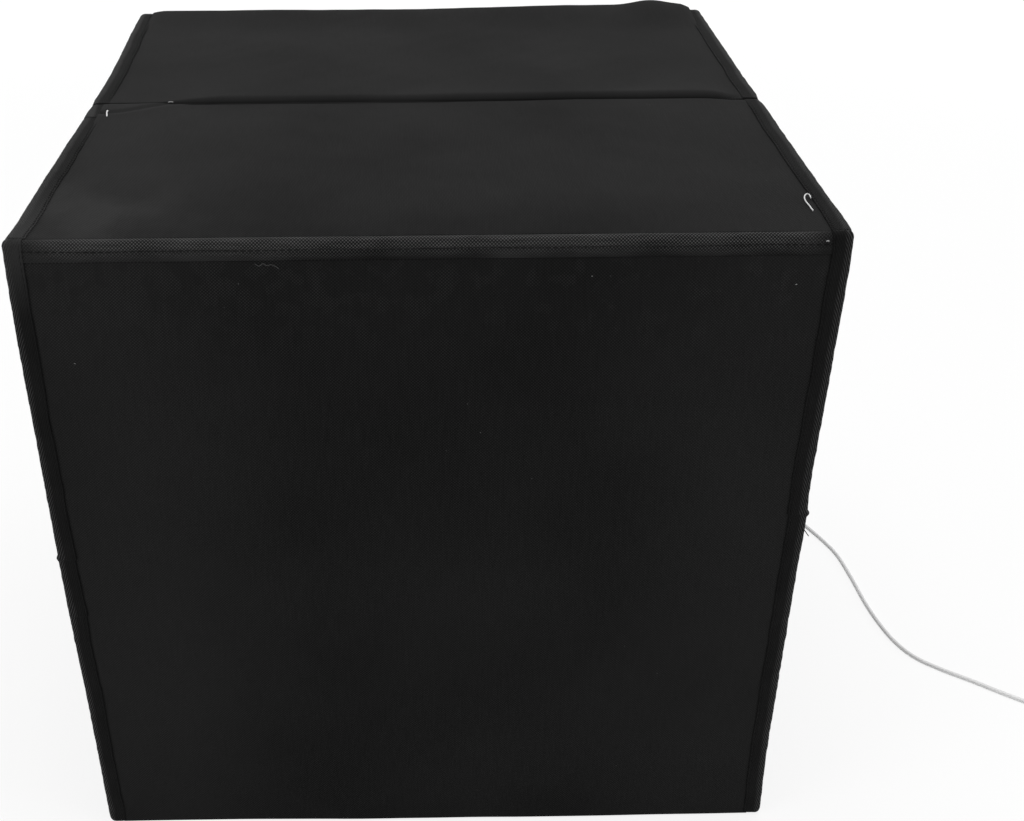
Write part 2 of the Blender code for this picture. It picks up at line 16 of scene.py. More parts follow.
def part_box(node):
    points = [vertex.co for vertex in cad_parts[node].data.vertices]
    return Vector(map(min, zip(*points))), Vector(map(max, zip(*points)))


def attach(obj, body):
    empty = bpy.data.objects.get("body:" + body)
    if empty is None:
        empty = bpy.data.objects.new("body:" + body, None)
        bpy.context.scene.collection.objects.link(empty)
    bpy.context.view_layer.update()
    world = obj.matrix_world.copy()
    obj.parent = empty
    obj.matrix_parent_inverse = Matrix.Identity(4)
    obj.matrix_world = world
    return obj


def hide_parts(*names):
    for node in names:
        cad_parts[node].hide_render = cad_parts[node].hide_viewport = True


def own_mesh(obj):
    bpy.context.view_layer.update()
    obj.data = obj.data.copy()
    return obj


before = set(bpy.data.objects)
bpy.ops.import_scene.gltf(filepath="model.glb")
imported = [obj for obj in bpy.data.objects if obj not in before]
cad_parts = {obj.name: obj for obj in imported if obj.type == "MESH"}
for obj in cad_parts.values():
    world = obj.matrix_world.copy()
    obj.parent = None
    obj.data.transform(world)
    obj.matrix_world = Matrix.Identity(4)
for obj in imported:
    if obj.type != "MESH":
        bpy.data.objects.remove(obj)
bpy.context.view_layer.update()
MM = 0.001

# %% [markdown]
# Every size is read from the solids, so the looks fit them. The numbers could be typed in again,
# but then a change to the model would leave the cloth behind. The cube stands on Z = 0, its back
# panel faces -Y and its open front faces +Y. HALF is half the width over the bound edges.

# %% Sizes read from the frame
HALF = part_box("base_binding_right")[1].x
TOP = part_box("top_rear_skin")[1].z
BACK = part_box("back_skin")[0].y
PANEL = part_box("base_lining")[1].z
TAPE_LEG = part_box("base_binding_right")[1].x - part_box("base_binding_right")[0].x
WALL_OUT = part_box("right_lower_skin")[1].x
WALL_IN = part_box("right_lower_lining")[0].x
SPINE_Y = BACK + PANEL / 2
SPINE_Z = TOP - PANEL / 2
BAND_TUCK = 2.3 * MM
BAND_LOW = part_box("spine_band")[0].z + BAND_TUCK
print(f"half width {HALF / MM:.1f} mm, top at {TOP / MM:.1f} mm, panels {PANEL / MM:.1f} mm thick")

# %% [markdown]
# The camera comes first, because the lead on the floor has to stay inside what it sees until it
# leaves on the right. It could be aimed by eye, but a close match needs more, so its place was
# found from the corners of the cube. It looks down from behind. The lens is about 48 mm on a 36
# mm wide sensor, and the picture was cropped to one side, which a small sideways shift of the
# lens repeats.

# %% Camera
IMAGE = (1024, 821)
FOCAL_PIXELS = 1357.6
AXIS_PIXEL = (447.1, 413.2)
CAMERA_AT = Vector((-0.005, -0.790, 0.6522))
PITCH, YAW, ROLL = (math.radians(a) for a in (31.31, 1.21, -0.11))


def look_matrix():
    """The camera's placing: right, up and backward axes from its pitch, yaw and roll."""
    forward = Vector((math.sin(YAW) * math.cos(PITCH), math.cos(YAW) * math.cos(PITCH), -math.sin(PITCH)))
    right = Vector((math.cos(YAW), -math.sin(YAW), 0))
    up = right.cross(forward)
    turned_right = right * math.cos(ROLL) + up * math.sin(ROLL)
    turned_up = up * math.cos(ROLL) - right * math.sin(ROLL)
    placing = Matrix((turned_right, turned_up, -forward)).transposed().to_4x4()
    placing.translation = CAMERA_AT
    return placing


camera_data = bpy.data.cameras.new("photo_camera")
camera_data.sensor_width = 36.0
camera_data.lens = FOCAL_PIXELS / IMAGE[0] * camera_data.sensor_width
camera_data.shift_x = (IMAGE[0] / 2 - AXIS_PIXEL[0]) / IMAGE[0]
camera_data.shift_y = (AXIS_PIXEL[1] - IMAGE[1] / 2) / IMAGE[0]
camera_data.clip_start = 0.01
camera = bpy.data.objects.new("photo_camera", camera_data)
bpy.context.scene.collection.objects.link(camera)
camera.matrix_world = look_matrix()
bpy.context.scene.camera = camera
print(f"lens {camera_data.lens:.1f} mm, shift {camera_data.shift_x:.3f}")

# %% [markdown]
# Small tools for shader graphs. A material is a graph of nodes: texture coordinates go in,
# colour, roughness and bump come out, and one Principled shader at the end turns them into a
# surface. The nodes could be placed by hand in the editor. In a script, add_node makes a node and
# sets or links its inputs in one line, and the functions after it make the steps that come up
# again and again, which keeps the recipes short.

# %% Shader graph helpers


def feed(tree, socket, value):
    """Link a socket into another one, or set a plain value on it."""
    if isinstance(value, bpy.types.NodeSocket):
        tree.links.new(value, socket)
    else:
        socket.default_value = value


def add_node(tree, kind, inputs=None, **settings):
    """A node of this kind; inputs holds values, or sockets to link from."""
    node = tree.nodes.new(kind)
    for name, value in settings.items():
        setattr(node, name, value)
    for name, value in (inputs or {}).items():
        feed(tree, node.inputs[name], value)
    return node


def maths(tree, operation, a, b=0.0):
    """One arithmetic step on two numbers or sockets."""
    return add_node(tree, "ShaderNodeMath", {0: a, 1: b}, operation=operation).outputs[0]


def product(tree, *factors):
    """Numbers or sockets multiplied together."""
    result = factors[0]
    for factor in factors[1:]:
        result = maths(tree, "MULTIPLY", result, factor)
    return result


def vector_maths(tree, operation, inputs):
    """One arithmetic step on vectors."""
    return add_node(tree, "ShaderNodeVectorMath", inputs, operation=operation).outputs[0]


def split(tree, vector):
    """The three numbers of a vector."""
    return add_node(tree, "ShaderNodeSeparateXYZ", {0: vector}).outputs


def mix_colour(tree, share, a, b):
    """A colour between a and b."""
    return add_node(tree, "ShaderNodeMix", {0: share, 6: a, 7: b}, data_type="RGBA").outputs[2]


def span(tree, value, start, end, low=0.0, high=1.0):
    """Low up to start, high from end on, and a straight ramp between."""
    ends = {"Value": value, "From Min": start, "From Max": end, "To Min": low, "To Max": high}
    return add_node(tree, "ShaderNodeMapRange", ends).outputs[0]


def noise(tree, where, scale, detail=2.0):
    """Cloudy noise around one half; a larger scale makes finer clouds."""
    inputs = {"Vector": where, "Scale": scale, "Detail": detail}
    return add_node(tree, "ShaderNodeTexNoise", inputs).outputs[0]


def grey(value, warm=0.0):
    """A grey with a trace of warmth, as a colour socket wants it."""
    return (value * (1 + warm), value, value * (1 - warm), 1.0)


def start_group(name, inputs, outputs):
    """A shader node group with named number, colour or vector sockets."""
    group = bpy.data.node_groups.new(name, "ShaderNodeTree")
    kinds = {"number": "NodeSocketFloat", "colour": "NodeSocketColor", "vector": "NodeSocketVector"}
    for label, (kind, value) in inputs.items():
        socket = group.interface.new_socket(label, in_out="INPUT", socket_type=kinds[kind])
        if value is not None:
            socket.default_value = value
    for label, kind in outputs.items():
        group.interface.new_socket(label, in_out="OUTPUT", socket_type=kinds[kind])
    return group, group.nodes.new("NodeGroupInput"), group.nodes.new("NodeGroupOutput")


print("shader helpers ready")

# %% [markdown]
# The panels' cloth is a plain weave: each thread passes over one and under the next. A picture of
# cloth could be laid on, but it repeats and has only one size. Two sine waves multiplied together
# give the same chequer of small bumps. They run on a map measured in metres, so a thread is as
# thick on every piece. A little noise makes the threads uneven.

# %% Weave group
WEAVE_MAP = "cloth_metres"
SLUB_STRETCH = (0.06, 0.5, 1.0)


def make_weave_group():
    """Height of crossing threads from the cloth map, with slubs along them."""
    sockets = {"Map": ("vector", None), "Thread": ("number", 0.0006), "Slub": ("number", 0.4)}
    group, source, sink = start_group("plain_weave", sockets, {"Height": "number"})
    per_metre = maths(group, "DIVIDE", 1.0, source.outputs["Thread"])
    scaled = vector_maths(group, "SCALE", {0: source.outputs["Map"], 3: per_metre})
    warp, weft = (maths(group, "SINE", product(group, axis, math.pi)) for axis in split(group, scaled)[:2])
    stretched = vector_maths(group, "MULTIPLY", {0: scaled, 1: SLUB_STRETCH})
    slub = product(group, noise(group, stretched, 1.0), source.outputs["Slub"])
    chequer = product(group, warp, weft, 0.5)
    group.links.new(maths(group, "ADD", chequer, slub), sink.inputs["Height"])
    return group


weave_group = make_weave_group()
print("group:", weave_group.name)

# %% [markdown]
# Black coated fabric is never one flat black. It carries broad cloudy patches where the coating
# is thicker, and a few pale specks of lint. They could be painted on every panel. One group gives
# both from noise at two scales instead, and every black material shares it with its own two
# shades.

# %% Worn tone group
CLOUD_EDGE = (0.34, 0.66)
LINT_CELLS = 130.0
LINT_EDGE = (0.05, 0.02)
LINT_GROUPS = 38.0
LINT_GROUP_EDGE = (0.7, 0.74)
LINT_TONE = 0.25


def make_tone_group():
    """Cloudy colour between two shades, with specks of lint."""
    sockets = {
        "Map": ("vector", None),
        "Dark": ("colour", grey(0.01)),
        "Light": ("colour", grey(0.02)),
        "Patch": ("number", 14.0),
        "Lint": ("number", 0.5),
    }
    group, source, sink = start_group("worn_tone", sockets, {"Colour": "colour", "Patches": "number"})
    where = source.outputs["Map"]
    cloudy = noise(group, where, source.outputs["Patch"], 4.0)
    patches = span(group, cloudy, *CLOUD_EDGE)
    tone = mix_colour(group, patches, source.outputs["Dark"], source.outputs["Light"])
    cells = add_node(group, "ShaderNodeTexVoronoi", {"Vector": where, "Scale": LINT_CELLS})
    near = span(group, cells.outputs["Distance"], *LINT_EDGE)
    chosen = span(group, noise(group, where, LINT_GROUPS, 0.0), *LINT_GROUP_EDGE)
    lint = product(group, near, chosen, source.outputs["Lint"])
    group.links.new(mix_colour(group, lint, tone, grey(LINT_TONE)), sink.inputs["Colour"])
    group.links.new(patches, sink.inputs["Patches"])
    return group


tone_group = make_tone_group()
print("group:", tone_group.name)

# %% [markdown]
# Each finish below is one material. It could be a copy of another one with changes, but a copy
# carries its faults along, so start_material builds what all of them share. The Principled shader
# sits in the material, and constants such as sheen are set on its own sockets. It returns the
# graph, the shader, the map in metres and the object's own coordinates.

# %% Material starter


def start_material(name, roughness=0.6, metallic=0.0, **constants):
    """A new Principled material: (material, tree, shader, metre map, object coordinates)."""
    material = bpy.data.materials.new(name)
    material.use_nodes = True
    tree = material.node_tree
    shader = tree.nodes["Principled BSDF"]
    shader.inputs["Roughness"].default_value = roughness
    shader.inputs["Metallic"].default_value = metallic
    for label, value in constants.items():
        shader.inputs[label.replace("_", " ")].default_value = value
    metres = add_node(tree, "ShaderNodeUVMap", uv_map=WEAVE_MAP).outputs[0]
    coordinates = add_node(tree, "ShaderNodeTexCoord").outputs["Object"]
    return material, tree, shader, metres, coordinates


def put_group(tree, group, inputs):
    """Place a group in a material's graph with its own values."""
    node = tree.nodes.new("ShaderNodeGroup")
    node.node_tree = group
    for label, value in inputs.items():
        feed(tree, node.inputs[label], value)
    return node.outputs


def bump(tree, shader, height, distance, strength=1.0):
    """Feed a height into the shader's normal."""
    inputs = {"Height": height, "Distance": distance, "Strength": strength}
    tree.links.new(add_node(tree, "ShaderNodeBump", inputs).outputs[0], shader.inputs["Normal"])


print("material starter ready")

# %% [markdown]
# The panels' cloth is thin nylon with a black coating. Its margins and the rear left corner of the
# top are painted paler: that is painted light, and the darker middle of each panel is painted
# shade. Near the upper edge of the back the coating is so thin in places that the threads show, so
# their painted highlight is stronger there. On the spine band the painted highlight of the threads
# fades towards its lower edge and its ends. These marks could be painted on a mask, but they follow
# edges and corners, so they are worked out from a point's place. Each function says how much paler
# the cloth is painted and how strong the painted highlight on its threads is.

# %% Painted light and thin coating of the panels, and the band's painted highlight
PANEL_MIDDLE = 0.195
# Painted light: the margins and the top's rear left corner are painted paler than the middle.
PAINTED_PALE = 2.5
PAINTED_PALE_RANGE = (0.1, 0.19)
PAINTED_PALE_NOISE = 0.07
PAINTED_MARGIN_SHARE = 0.235
PALE_X = (-0.08, -0.16)
PALE_Y = (-0.09, -0.16)
PALE_EDGE = (0.36, 0.6)
OFF_FACE = (9 * MM, 2 * MM)
# Where the back's coating is thin the threads show, through a stronger painted highlight.
THIN_HEIGHT = (0.318, 0.366)
THIN_LEFT = (0.02, -0.17)
THIN_LEAN = 0.14
THIN_HIGHLIGHT = 1.7
BLOTS = 80.0
BLOT_EDGE = (0.55, 0.6)
# The painted highlight of the spine band's threads fades towards its lower edge and its ends.
BAND_FADE = 6 * MM
BAND_RISE = (0.5 * BAND_FADE, 1.9 * BAND_FADE, 0.12)
BAND_END = (HALF - 11 * MM, HALF - 24 * MM, 0.25)


def panel_light_and_wear(tree, metres, place, coordinates, uneven):
    """Painted paler margins and top rear left corner, and more painted thread highlight where coating is
    thin.
    """
    off_middle = maths(tree, "ABSOLUTE", maths(tree, "SUBTRACT", metres[1], PANEL_MIDDLE))
    # Painted light: paler towards the margins of the cloth map.
    painted_pale = span(tree, maths(tree, "ADD", off_middle, product(tree, uneven, PAINTED_PALE_NOISE)), *PAINTED_PALE_RANGE)
    on_back = span(tree, place[1], *(BACK + off for off in OFF_FACE))
    on_top = span(tree, place[2], *(TOP - off for off in OFF_FACE))
    leftward = span(tree, place[0], *THIN_LEFT, 0.0, THIN_LEAN)
    blots = span(tree, maths(tree, "ADD", noise(tree, coordinates, BLOTS), leftward), *BLOT_EDGE)
    thin = product(tree, blots, span(tree, place[2], *THIN_HEIGHT), on_back)
    # Painted light: paler towards the top's rear left corner.
    corner = product(tree, span(tree, place[0], *PALE_X), span(tree, place[1], *PALE_Y), on_top)
    corner = product(tree, corner, span(tree, uneven, *PALE_EDGE))
    pale = maths(tree, "ADD", product(tree, painted_pale, PAINTED_MARGIN_SHARE), corner)
    return pale, span(tree, thin, 0.0, 1.0, 1.0, THIN_HIGHLIGHT)


def spine_highlight_fade(tree, metres, place, coordinates, uneven):
    """The painted highlight of the spine band's threads, fading towards its lower edge and two ends."""
    height = maths(tree, "ADD", metres[1], product(tree, uneven, BAND_FADE))
    ends = span(tree, maths(tree, "ABSOLUTE", place[0]), *BAND_END)
    return 0.0, product(tree, span(tree, height, *BAND_RISE), ends)


print("two kinds of wear ready")

# %% [markdown]
# The cloth itself has cloudy tones, painted paler where the functions above say, with the threads
# of the weave on top. The threads could be real shapes, but there are far too many of them. So a
# bump raises them, and the raised threads carry a painted highlight, lighter than the gaps between
# them.

# %% Cloth finishes
THREAD_PITCH = 0.84 * MM
# The raised threads carry a painted highlight, this many times the lighter tone.
THREAD_HIGHLIGHT = 5.0
RAISED = (0.1, 0.7)
CLOTH_DULL = (0.78, 0.7)


def cloth_material(name, dark, light, thread, depth, thread_highlight, patch, light_and_wear):
    """Woven black fabric with cloudy patches, and a painted highlight on the raised threads."""
    material, tree, shader, metres, coordinates = start_material(
        name, Sheen_Weight=0.008, Sheen_Roughness=0.5, Specular_IOR_Level=0.03
    )
    tones = {"Map": coordinates, "Dark": grey(dark), "Light": grey(light), "Patch": patch, "Lint": 0.35}
    tone, patches = put_group(tree, tone_group, tones)
    uneven = noise(tree, coordinates, scale=16.0, detail=5.0)
    # Painted light: paler where the function says, and a scale for the threads' painted highlight.
    painted_pale, strength = light_and_wear(tree, split(tree, metres), split(tree, coordinates), coordinates, uneven)
    base = mix_colour(tree, painted_pale, tone, grey(light * PAINTED_PALE))
    weave = put_group(tree, weave_group, {"Map": metres, "Thread": thread})[0]
    # Painted highlight: the raised threads are lighter than the gaps between them.
    share = product(tree, span(tree, weave, *RAISED, 0.0, thread_highlight), strength)
    tree.links.new(mix_colour(tree, share, base, grey(light * THREAD_HIGHLIGHT)), shader.inputs["Base Color"])
    tree.links.new(span(tree, patches, 0.0, 1.0, *CLOTH_DULL), shader.inputs["Roughness"])
    bump(tree, shader, weave, depth)
    return material


skin_finish = cloth_material(
    "black_coated_oxford", dark=0.0060, light=0.0086, thread=THREAD_PITCH, depth=0.1 * MM,
    thread_highlight=0.32, patch=9.0, light_and_wear=panel_light_and_wear,
)
spine_finish = cloth_material(
    "black_plain_weave", dark=0.004, light=0.021, thread=THREAD_PITCH, depth=0.32 * MM,
    thread_highlight=1.0, patch=20.0, light_and_wear=spine_highlight_fade,
)
print("cloth finishes ready")

# %% [markdown]
# Binding tape is a ribbed ribbon folded over the edge. Its ribs could be modelled, but at this
# distance a bump is enough. They come from one slanting sine wave across the tape's map, which
# has its first axis along the tape. The ribs are strong on the rounded edge, where the tape is
# stretched, and worn smoother on the flat leg. Their crests carry a painted highlight on the
# rounded edge, where it catches the light, and hardly any on the flat leg. Sewing thread gets its
# twisted strands from a wave too.

# %% Tape and thread finishes
RIB = 3.0 * MM
RIB_SLANT = 2.0
# Painted highlight on the rib crests, strongest on the rounded edge.
RIB_HIGHLIGHT = 5.4
RIB_DEEP = 0.28 * MM
RIB_EDGE = (-0.3, 0.8)
FLAT_AND_BENT_HEIGHT = (0.4, 1.0)
FLAT_AND_BENT_HIGHLIGHT = (0.08, 0.95)
FLAT_AND_BENT_DULL = (0.75, 0.55)
TAPE_MIDDLE = TAPE_LEG + 2.0 * MM
BEND_REACH = (6.2 * MM, 4.4 * MM)
TAPE_THREAD = 0.4 * MM
WORN_HEIGHT = (0.35, 0.384)
WORN_LEFT = (-0.14, -0.19)
WORN_REAR = (-0.12, -0.19)
WORN_SHARE = 0.6
WORN_TONE = 0.042


def tape_material(name, dark, light):
    """Ribbed ribbon: the ribs open and carry a painted highlight where the tape bends round the edge."""
    material, tree, shader, metres, coordinates = start_material(
        name, Sheen_Weight=0.004, Sheen_Roughness=0.4, Specular_IOR_Level=0.04
    )
    along, over = split(tree, metres)[:2]
    x, y, z = split(tree, coordinates)
    slanted = maths(tree, "ADD", along, product(tree, over, RIB_SLANT))
    ribs = maths(tree, "SINE", product(tree, slanted, 2 * math.pi / RIB))
    off_edge = maths(tree, "ABSOLUTE", maths(tree, "SUBTRACT", over, TAPE_MIDDLE))
    bend = span(tree, off_edge, *BEND_REACH)
    weave = put_group(tree, weave_group, {"Map": metres, "Thread": TAPE_THREAD, "Slub": 0.3})[0]
    rib_height = product(tree, ribs, span(tree, bend, 0.0, 1.0, *FLAT_AND_BENT_HEIGHT))
    height = maths(tree, "ADD", rib_height, product(tree, weave, 0.3))
    tones = {"Map": coordinates, "Dark": grey(dark), "Light": grey(light), "Patch": 40.0, "Lint": 0.4}
    tone = put_group(tree, tone_group, tones)[0]
    # Painted highlight: rib crests lighter on the rounded edge, hardly at all on the flat leg.
    share = product(tree, span(tree, ribs, *RIB_EDGE), span(tree, bend, 0.0, 1.0, *FLAT_AND_BENT_HIGHLIGHT))
    colour = mix_colour(tree, share, tone, grey(light * RIB_HIGHLIGHT))
    corner = product(tree, span(tree, z, *WORN_HEIGHT), span(tree, x, *WORN_LEFT), span(tree, y, *WORN_REAR))
    colour = mix_colour(tree, product(tree, corner, WORN_SHARE), colour, grey(WORN_TONE))
    tree.links.new(colour, shader.inputs["Base Color"])
    tree.links.new(span(tree, bend, 0.0, 1.0, *FLAT_AND_BENT_DULL), shader.inputs["Roughness"])
    bump(tree, shader, height, RIB_DEEP)
    return material


def thread_material(name, colour, twist=0.5 * MM):
    """Twisted sewing thread: fine slanting ridges, painted shade between the strands, and a paler thread
    shines more.
    """
    shine = 0.1 + 0.4 * colour
    material, tree, shader, _, coordinates = start_material(name, 0.55, Specular_IOR_Level=shine)
    wave = {"Vector": coordinates, "Scale": 0.3 / twist, "Distortion": 1.5}
    strands = add_node(tree, "ShaderNodeTexWave", wave).outputs[1]
    # Painted shade: the grooves between the strands are painted darker.
    shade = mix_colour(tree, strands, grey(colour * 0.6), grey(colour))
    tree.links.new(shade, shader.inputs["Base Color"])
    bump(tree, shader, strands, 0.05 * MM)
    return material


tape_finish = tape_material("black_ribbed_tape", dark=0.0058, light=0.0082)
black_thread = thread_material("black_sewing_thread", 0.0035)
white_thread = thread_material("white_loose_thread", 0.85)
lint_thread = thread_material("grey_lint_thread", 0.07)
speck_thread = thread_material("pale_lint", 0.4)
print("tape and thread finishes ready")

# %% [markdown]
# The lining is a silver-coated cloth that throws the light back onto the subject. A full mirror
# would be too sharp and grey paint too dull. So it is half metallic, with an embossed weave and
# fine pebbles that scatter the light, and clouds where it is duller.

# %% Silver lining finish
EMBOSS = 2.2 * MM
EMBOSS_DEEP = 0.1 * MM
PEBBLES = 900.0
PEBBLE_SHARE = 0.35
PEBBLE_TONE = 0.45
SILVER_TONES = (0.56, 0.72)
COOL = -0.01
LINING_DULL = (0.28, 0.44)


def lining_material():
    """Half metallic cloth with clouds, pebbles and an embossed weave."""
    material, tree, shader, metres, coordinates = start_material("silver_lining_cloth", 0.34, 0.55)
    grains = {"Vector": metres, "Scale": PEBBLES}
    pebbles = add_node(tree, "ShaderNodeTexVoronoi", grains, feature="SMOOTH_F1").outputs[0]
    clouds = noise(tree, coordinates, scale=7.0, detail=5.0)
    shade = mix_colour(tree, clouds, *(grey(tone, COOL) for tone in SILVER_TONES))
    shade = mix_colour(tree, product(tree, pebbles, PEBBLE_SHARE), shade, grey(PEBBLE_TONE))
    tree.links.new(shade, shader.inputs["Base Color"])
    tree.links.new(span(tree, clouds, 0.0, 1.0, *LINING_DULL), shader.inputs["Roughness"])
    emboss = put_group(tree, weave_group, {"Map": metres, "Thread": EMBOSS, "Slub": 0.2})[0]
    bump(tree, shader, maths(tree, "ADD", emboss, product(tree, pebbles, 0.5)), EMBOSS_DEEP, 0.8)
    return material


silver_finish = lining_material()
print("lining finish ready")

# %% [markdown]
# The hard parts: a black board inside each panel, moulded black plastic, drawn aluminium, a milky
# lens, white lacquered circuit board, the pale jacket of the lead, plated steel and hook-and-loop
# pile. One colour and one roughness each would do from far away. Up close a surface shows how it
# was made, so one function gives them all a fine grain, stretched along the way each was drawn or
# moulded.

# %% Hard finishes
CLOUDS = 25.0
GRAIN_SHARE = 0.3
DULL_SHARES = (0.85, 1.15)


def grained(
    name, dark, light, roughness, metallic=0.0, grain=500.0, depth=0.02 * MM, drawn=(1, 1, 1), **more
):
    """A plain finish with a fine grain, stretched along the way the part was drawn or moulded."""
    material, tree, shader, _, coordinates = start_material(name, roughness, metallic, **more)
    along = add_node(tree, "ShaderNodeMapping", {"Vector": coordinates, "Scale": drawn}).outputs[0]
    fine = noise(tree, along, grain, detail=3.0)
    colour = mix_colour(tree, noise(tree, coordinates, CLOUDS), grey(dark), grey(light))
    colour = mix_colour(tree, product(tree, fine, GRAIN_SHARE), colour, grey(light))
    tree.links.new(colour, shader.inputs["Base Color"])
    dull = span(tree, fine, 0.0, 1.0, *(min(1.0, roughness * share) for share in DULL_SHARES))
    tree.links.new(dull, shader.inputs["Roughness"])
    bump(tree, shader, fine, depth)
    return material


board_finish = grained("black_panel_board", 0.012, 0.02, 0.7, grain=300.0)
plastic_finish = grained("moulded_black_plastic", 0.014, 0.022, 0.45, grain=1800.0, depth=0.03 * MM)
metal_finish = grained(
    "satin_anodised_aluminium", 0.62, 0.74, 0.33, metallic=1.0, grain=400.0, depth=0.01 * MM,
    drawn=(0.02, 1, 1),
)
lens_finish = grained(
    "milky_lens_plastic", 0.78, 0.85, 0.35, grain=900.0, drawn=(0.02, 1, 1), Subsurface_Weight=0.2
)
circuit_finish = grained("white_lacquered_circuit", 0.62, 0.72, 0.4, grain=200.0)
jacket_finish = grained(
    "pale_lead_jacket", 0.78, 0.84, 0.38, grain=600.0, depth=0.015 * MM, Coat_Weight=0.15
)
plug_metal_finish = grained(
    "nickel_plated_steel", 0.6, 0.7, 0.25, metallic=1.0, grain=900.0, depth=0.008 * MM,
    drawn=(1, 0.05, 1),
)
pile_finish = grained(
    "hook_and_loop_pile", 0.008, 0.028, 0.95, grain=2600.0, depth=0.5 * MM, Sheen_Weight=0.4
)
print("hard finishes ready")

# %% [markdown]
# Nearly every soft piece here is a grid of points, bent over a panel's edge or swept along it. It
# could be pulled into shape by hand from a plane, but made in code it stays exact and serves the
# next panel too. grid_piece turns such an array into a mesh and measures its cloth map along the
# rows and columns, so the weave keeps its scale. It can close the grid into a tube across its
# columns.

# %% Mesh helpers


def lengths_along(points, axis):
    """Distance from the first point, along one axis of a grid of points."""
    steps = np.linalg.norm(np.diff(points, axis=axis), axis=2)
    pad = [(1, 0), (0, 0)] if axis == 0 else [(0, 0), (1, 0)]
    return np.pad(np.cumsum(steps, axis=axis), pad)


def distance_along(line):
    """Distance of each point of a line from its first point."""
    return np.concatenate([[0], np.cumsum(np.linalg.norm(np.diff(line, axis=0), axis=1))])


def smooth_shade(obj, angle=40):
    """Shade smoothly, but keep creases sharper than the angle."""
    obj.data.shade_smooth()
    obj.data.set_sharp_from_angle(angle=math.radians(angle))


def mesh_piece(name, points, faces, finish, angle=40, maps=None):
    """A mesh object from points and faces, with its material and cloth map."""
    mesh = bpy.data.meshes.new(name)
    mesh.from_pydata([tuple(p) for p in points], [], faces)
    layer = mesh.uv_layers.new(name=WEAVE_MAP)
    if maps is None:
        maps = np.array(points)[:, :2]
    corners = np.zeros(len(mesh.loops), int)
    mesh.loops.foreach_get("vertex_index", corners)
    layer.uv.foreach_set("vector", np.array(maps, np.float32)[corners].ravel())
    mesh.materials.append(finish)
    mesh.validate()
    obj = bpy.data.objects.new(name, mesh)
    bpy.context.scene.collection.objects.link(obj)
    smooth_shade(obj, angle)
    return obj


def grid_piece(name, points, finish, closed=False, capped=False, angle=40):
    """A mesh from a grid of points, rows by columns; closed joins the last column to the first."""
    points = np.asarray(points, float)
    rows, columns = points.shape[:2]
    faces = []
    for row in range(0, (rows - 1) * columns, columns):
        for j in range(columns if closed else columns - 1):
            k = (j + 1) % columns
            faces.append((row + j, row + k, row + columns + k, row + columns + j))
    if capped:
        faces.append(tuple(range(columns))[::-1])
        faces.append(tuple((rows - 1) * columns + j for j in range(columns)))
    maps = np.stack([lengths_along(points, 0), lengths_along(points, 1)], axis=2).reshape(-1, 2)
    return mesh_piece(name, points.reshape(-1, 3), faces, finish, angle, maps)


def face_outward(obj, centre):
    """Turn the mesh's faces over if they point at the given point on the whole."""
    centre = Vector(centre)
    total = sum((centre - face.center).dot(face.normal) * face.area for face in obj.data.polygons)
    if total > 0:
        obj.data.flip_normals()


def thicken(obj, thickness, offset=-1.0):
    """Give a sheet its thickness, inward from its outer face unless the offset says otherwise."""
    solid = obj.modifiers.new("cloth_thickness", "SOLIDIFY")
    solid.thickness = thickness
    solid.offset = offset


def dress(obj, body, nodes=()):
    """Let a piece ride on its body and hide the solids that it stands for."""
    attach(obj, body)
    if nodes:
        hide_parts(*nodes)
    return obj


print("mesh helpers ready")

# %% [markdown]
# Cloth is never straight or flat. A simulation could show that, but cloth stretched over a board
# can't sag, and every swell has its known place. So the shapes are built from a few simple
# curves: an uneven ripple, a smooth step, a fade away from an edge, a hump along a line, and the
# flat middle of a stretched sheet that comes down at its margins.

# %% Curves that shape the cloth
WAVES = 7


def ripple(x, y, size, seed):
    """A smooth uneven surface, about -1 to 1, made of a few sine waves in mixed directions."""
    rng = np.random.default_rng(seed)
    total = np.zeros(np.broadcast(x, y).shape)
    for _ in range(WAVES):
        angle, phase = rng.uniform(0, 2 * math.pi, 2)
        wave = size * rng.uniform(0.6, 1.8)
        total += np.sin(2 * math.pi * (x * math.cos(angle) + y * math.sin(angle)) / wave + phase)
    return total / (WAVES / 2)


def ease(t):
    """0 before 0, 1 after 1, smooth between."""
    t = np.clip(t, 0.0, 1.0)
    return t * t * (3 - 2 * t)


def ramp(value, start, run):
    """A smooth step from 0 to 1 that begins at start and takes the length run."""
    return ease((value - start) / run)


def fade(distance, reach):
    """1 at no distance, falling off towards 0."""
    return np.exp(-distance / reach)


def hump(distance, width):
    """A smooth hump, 1 high, around no distance."""
    return np.exp(-((distance / width) ** 2))


def taut(share, power):
    """1 in the middle of a stretched sheet and 0 at its margins, where share is 1 or -1."""
    return np.clip(1 - share**power, 0, 1)


print("a ripple at three places:", ripple(np.array([0.0, 0.1, 0.2]), 0.0, 0.1, 1).round(2))

# %% [markdown]
# The panels lie in different ways, and each could have code of its own, but cloth behaves alike
# on all of them. So a place function turns (across, along, depth) into a point, where depth runs
# inward from the outer face. The same code then dresses the base, the two halves of the top, the
# back, and the four halves of the side walls. BOWS says how far each bound edge bows out from a
# straight line at a few places along it, in millimetres.

# %% Where the panels lie


def top_place(across, along, depth):
    """Points of the top."""
    return np.stack(np.broadcast_arrays(across, along, TOP - depth), axis=-1)


def base_place(across, along, depth):
    """Points of the base."""
    return np.stack(np.broadcast_arrays(across, along, depth), axis=-1)


def back_place(across, along, depth):
    """Points of the back."""
    return np.stack(np.broadcast_arrays(across, BACK + depth, along), axis=-1)


def wall_place(side):
    """The place function of the left or the right wall."""

    def place(across, along, depth):
        return np.stack(np.broadcast_arrays(side * (WALL_OUT - depth), across, along), axis=-1)

    return place


def along_range(node, axis):
    """Where a solid starts and ends along one axis."""
    low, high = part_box(node)
    return low[axis], high[axis]


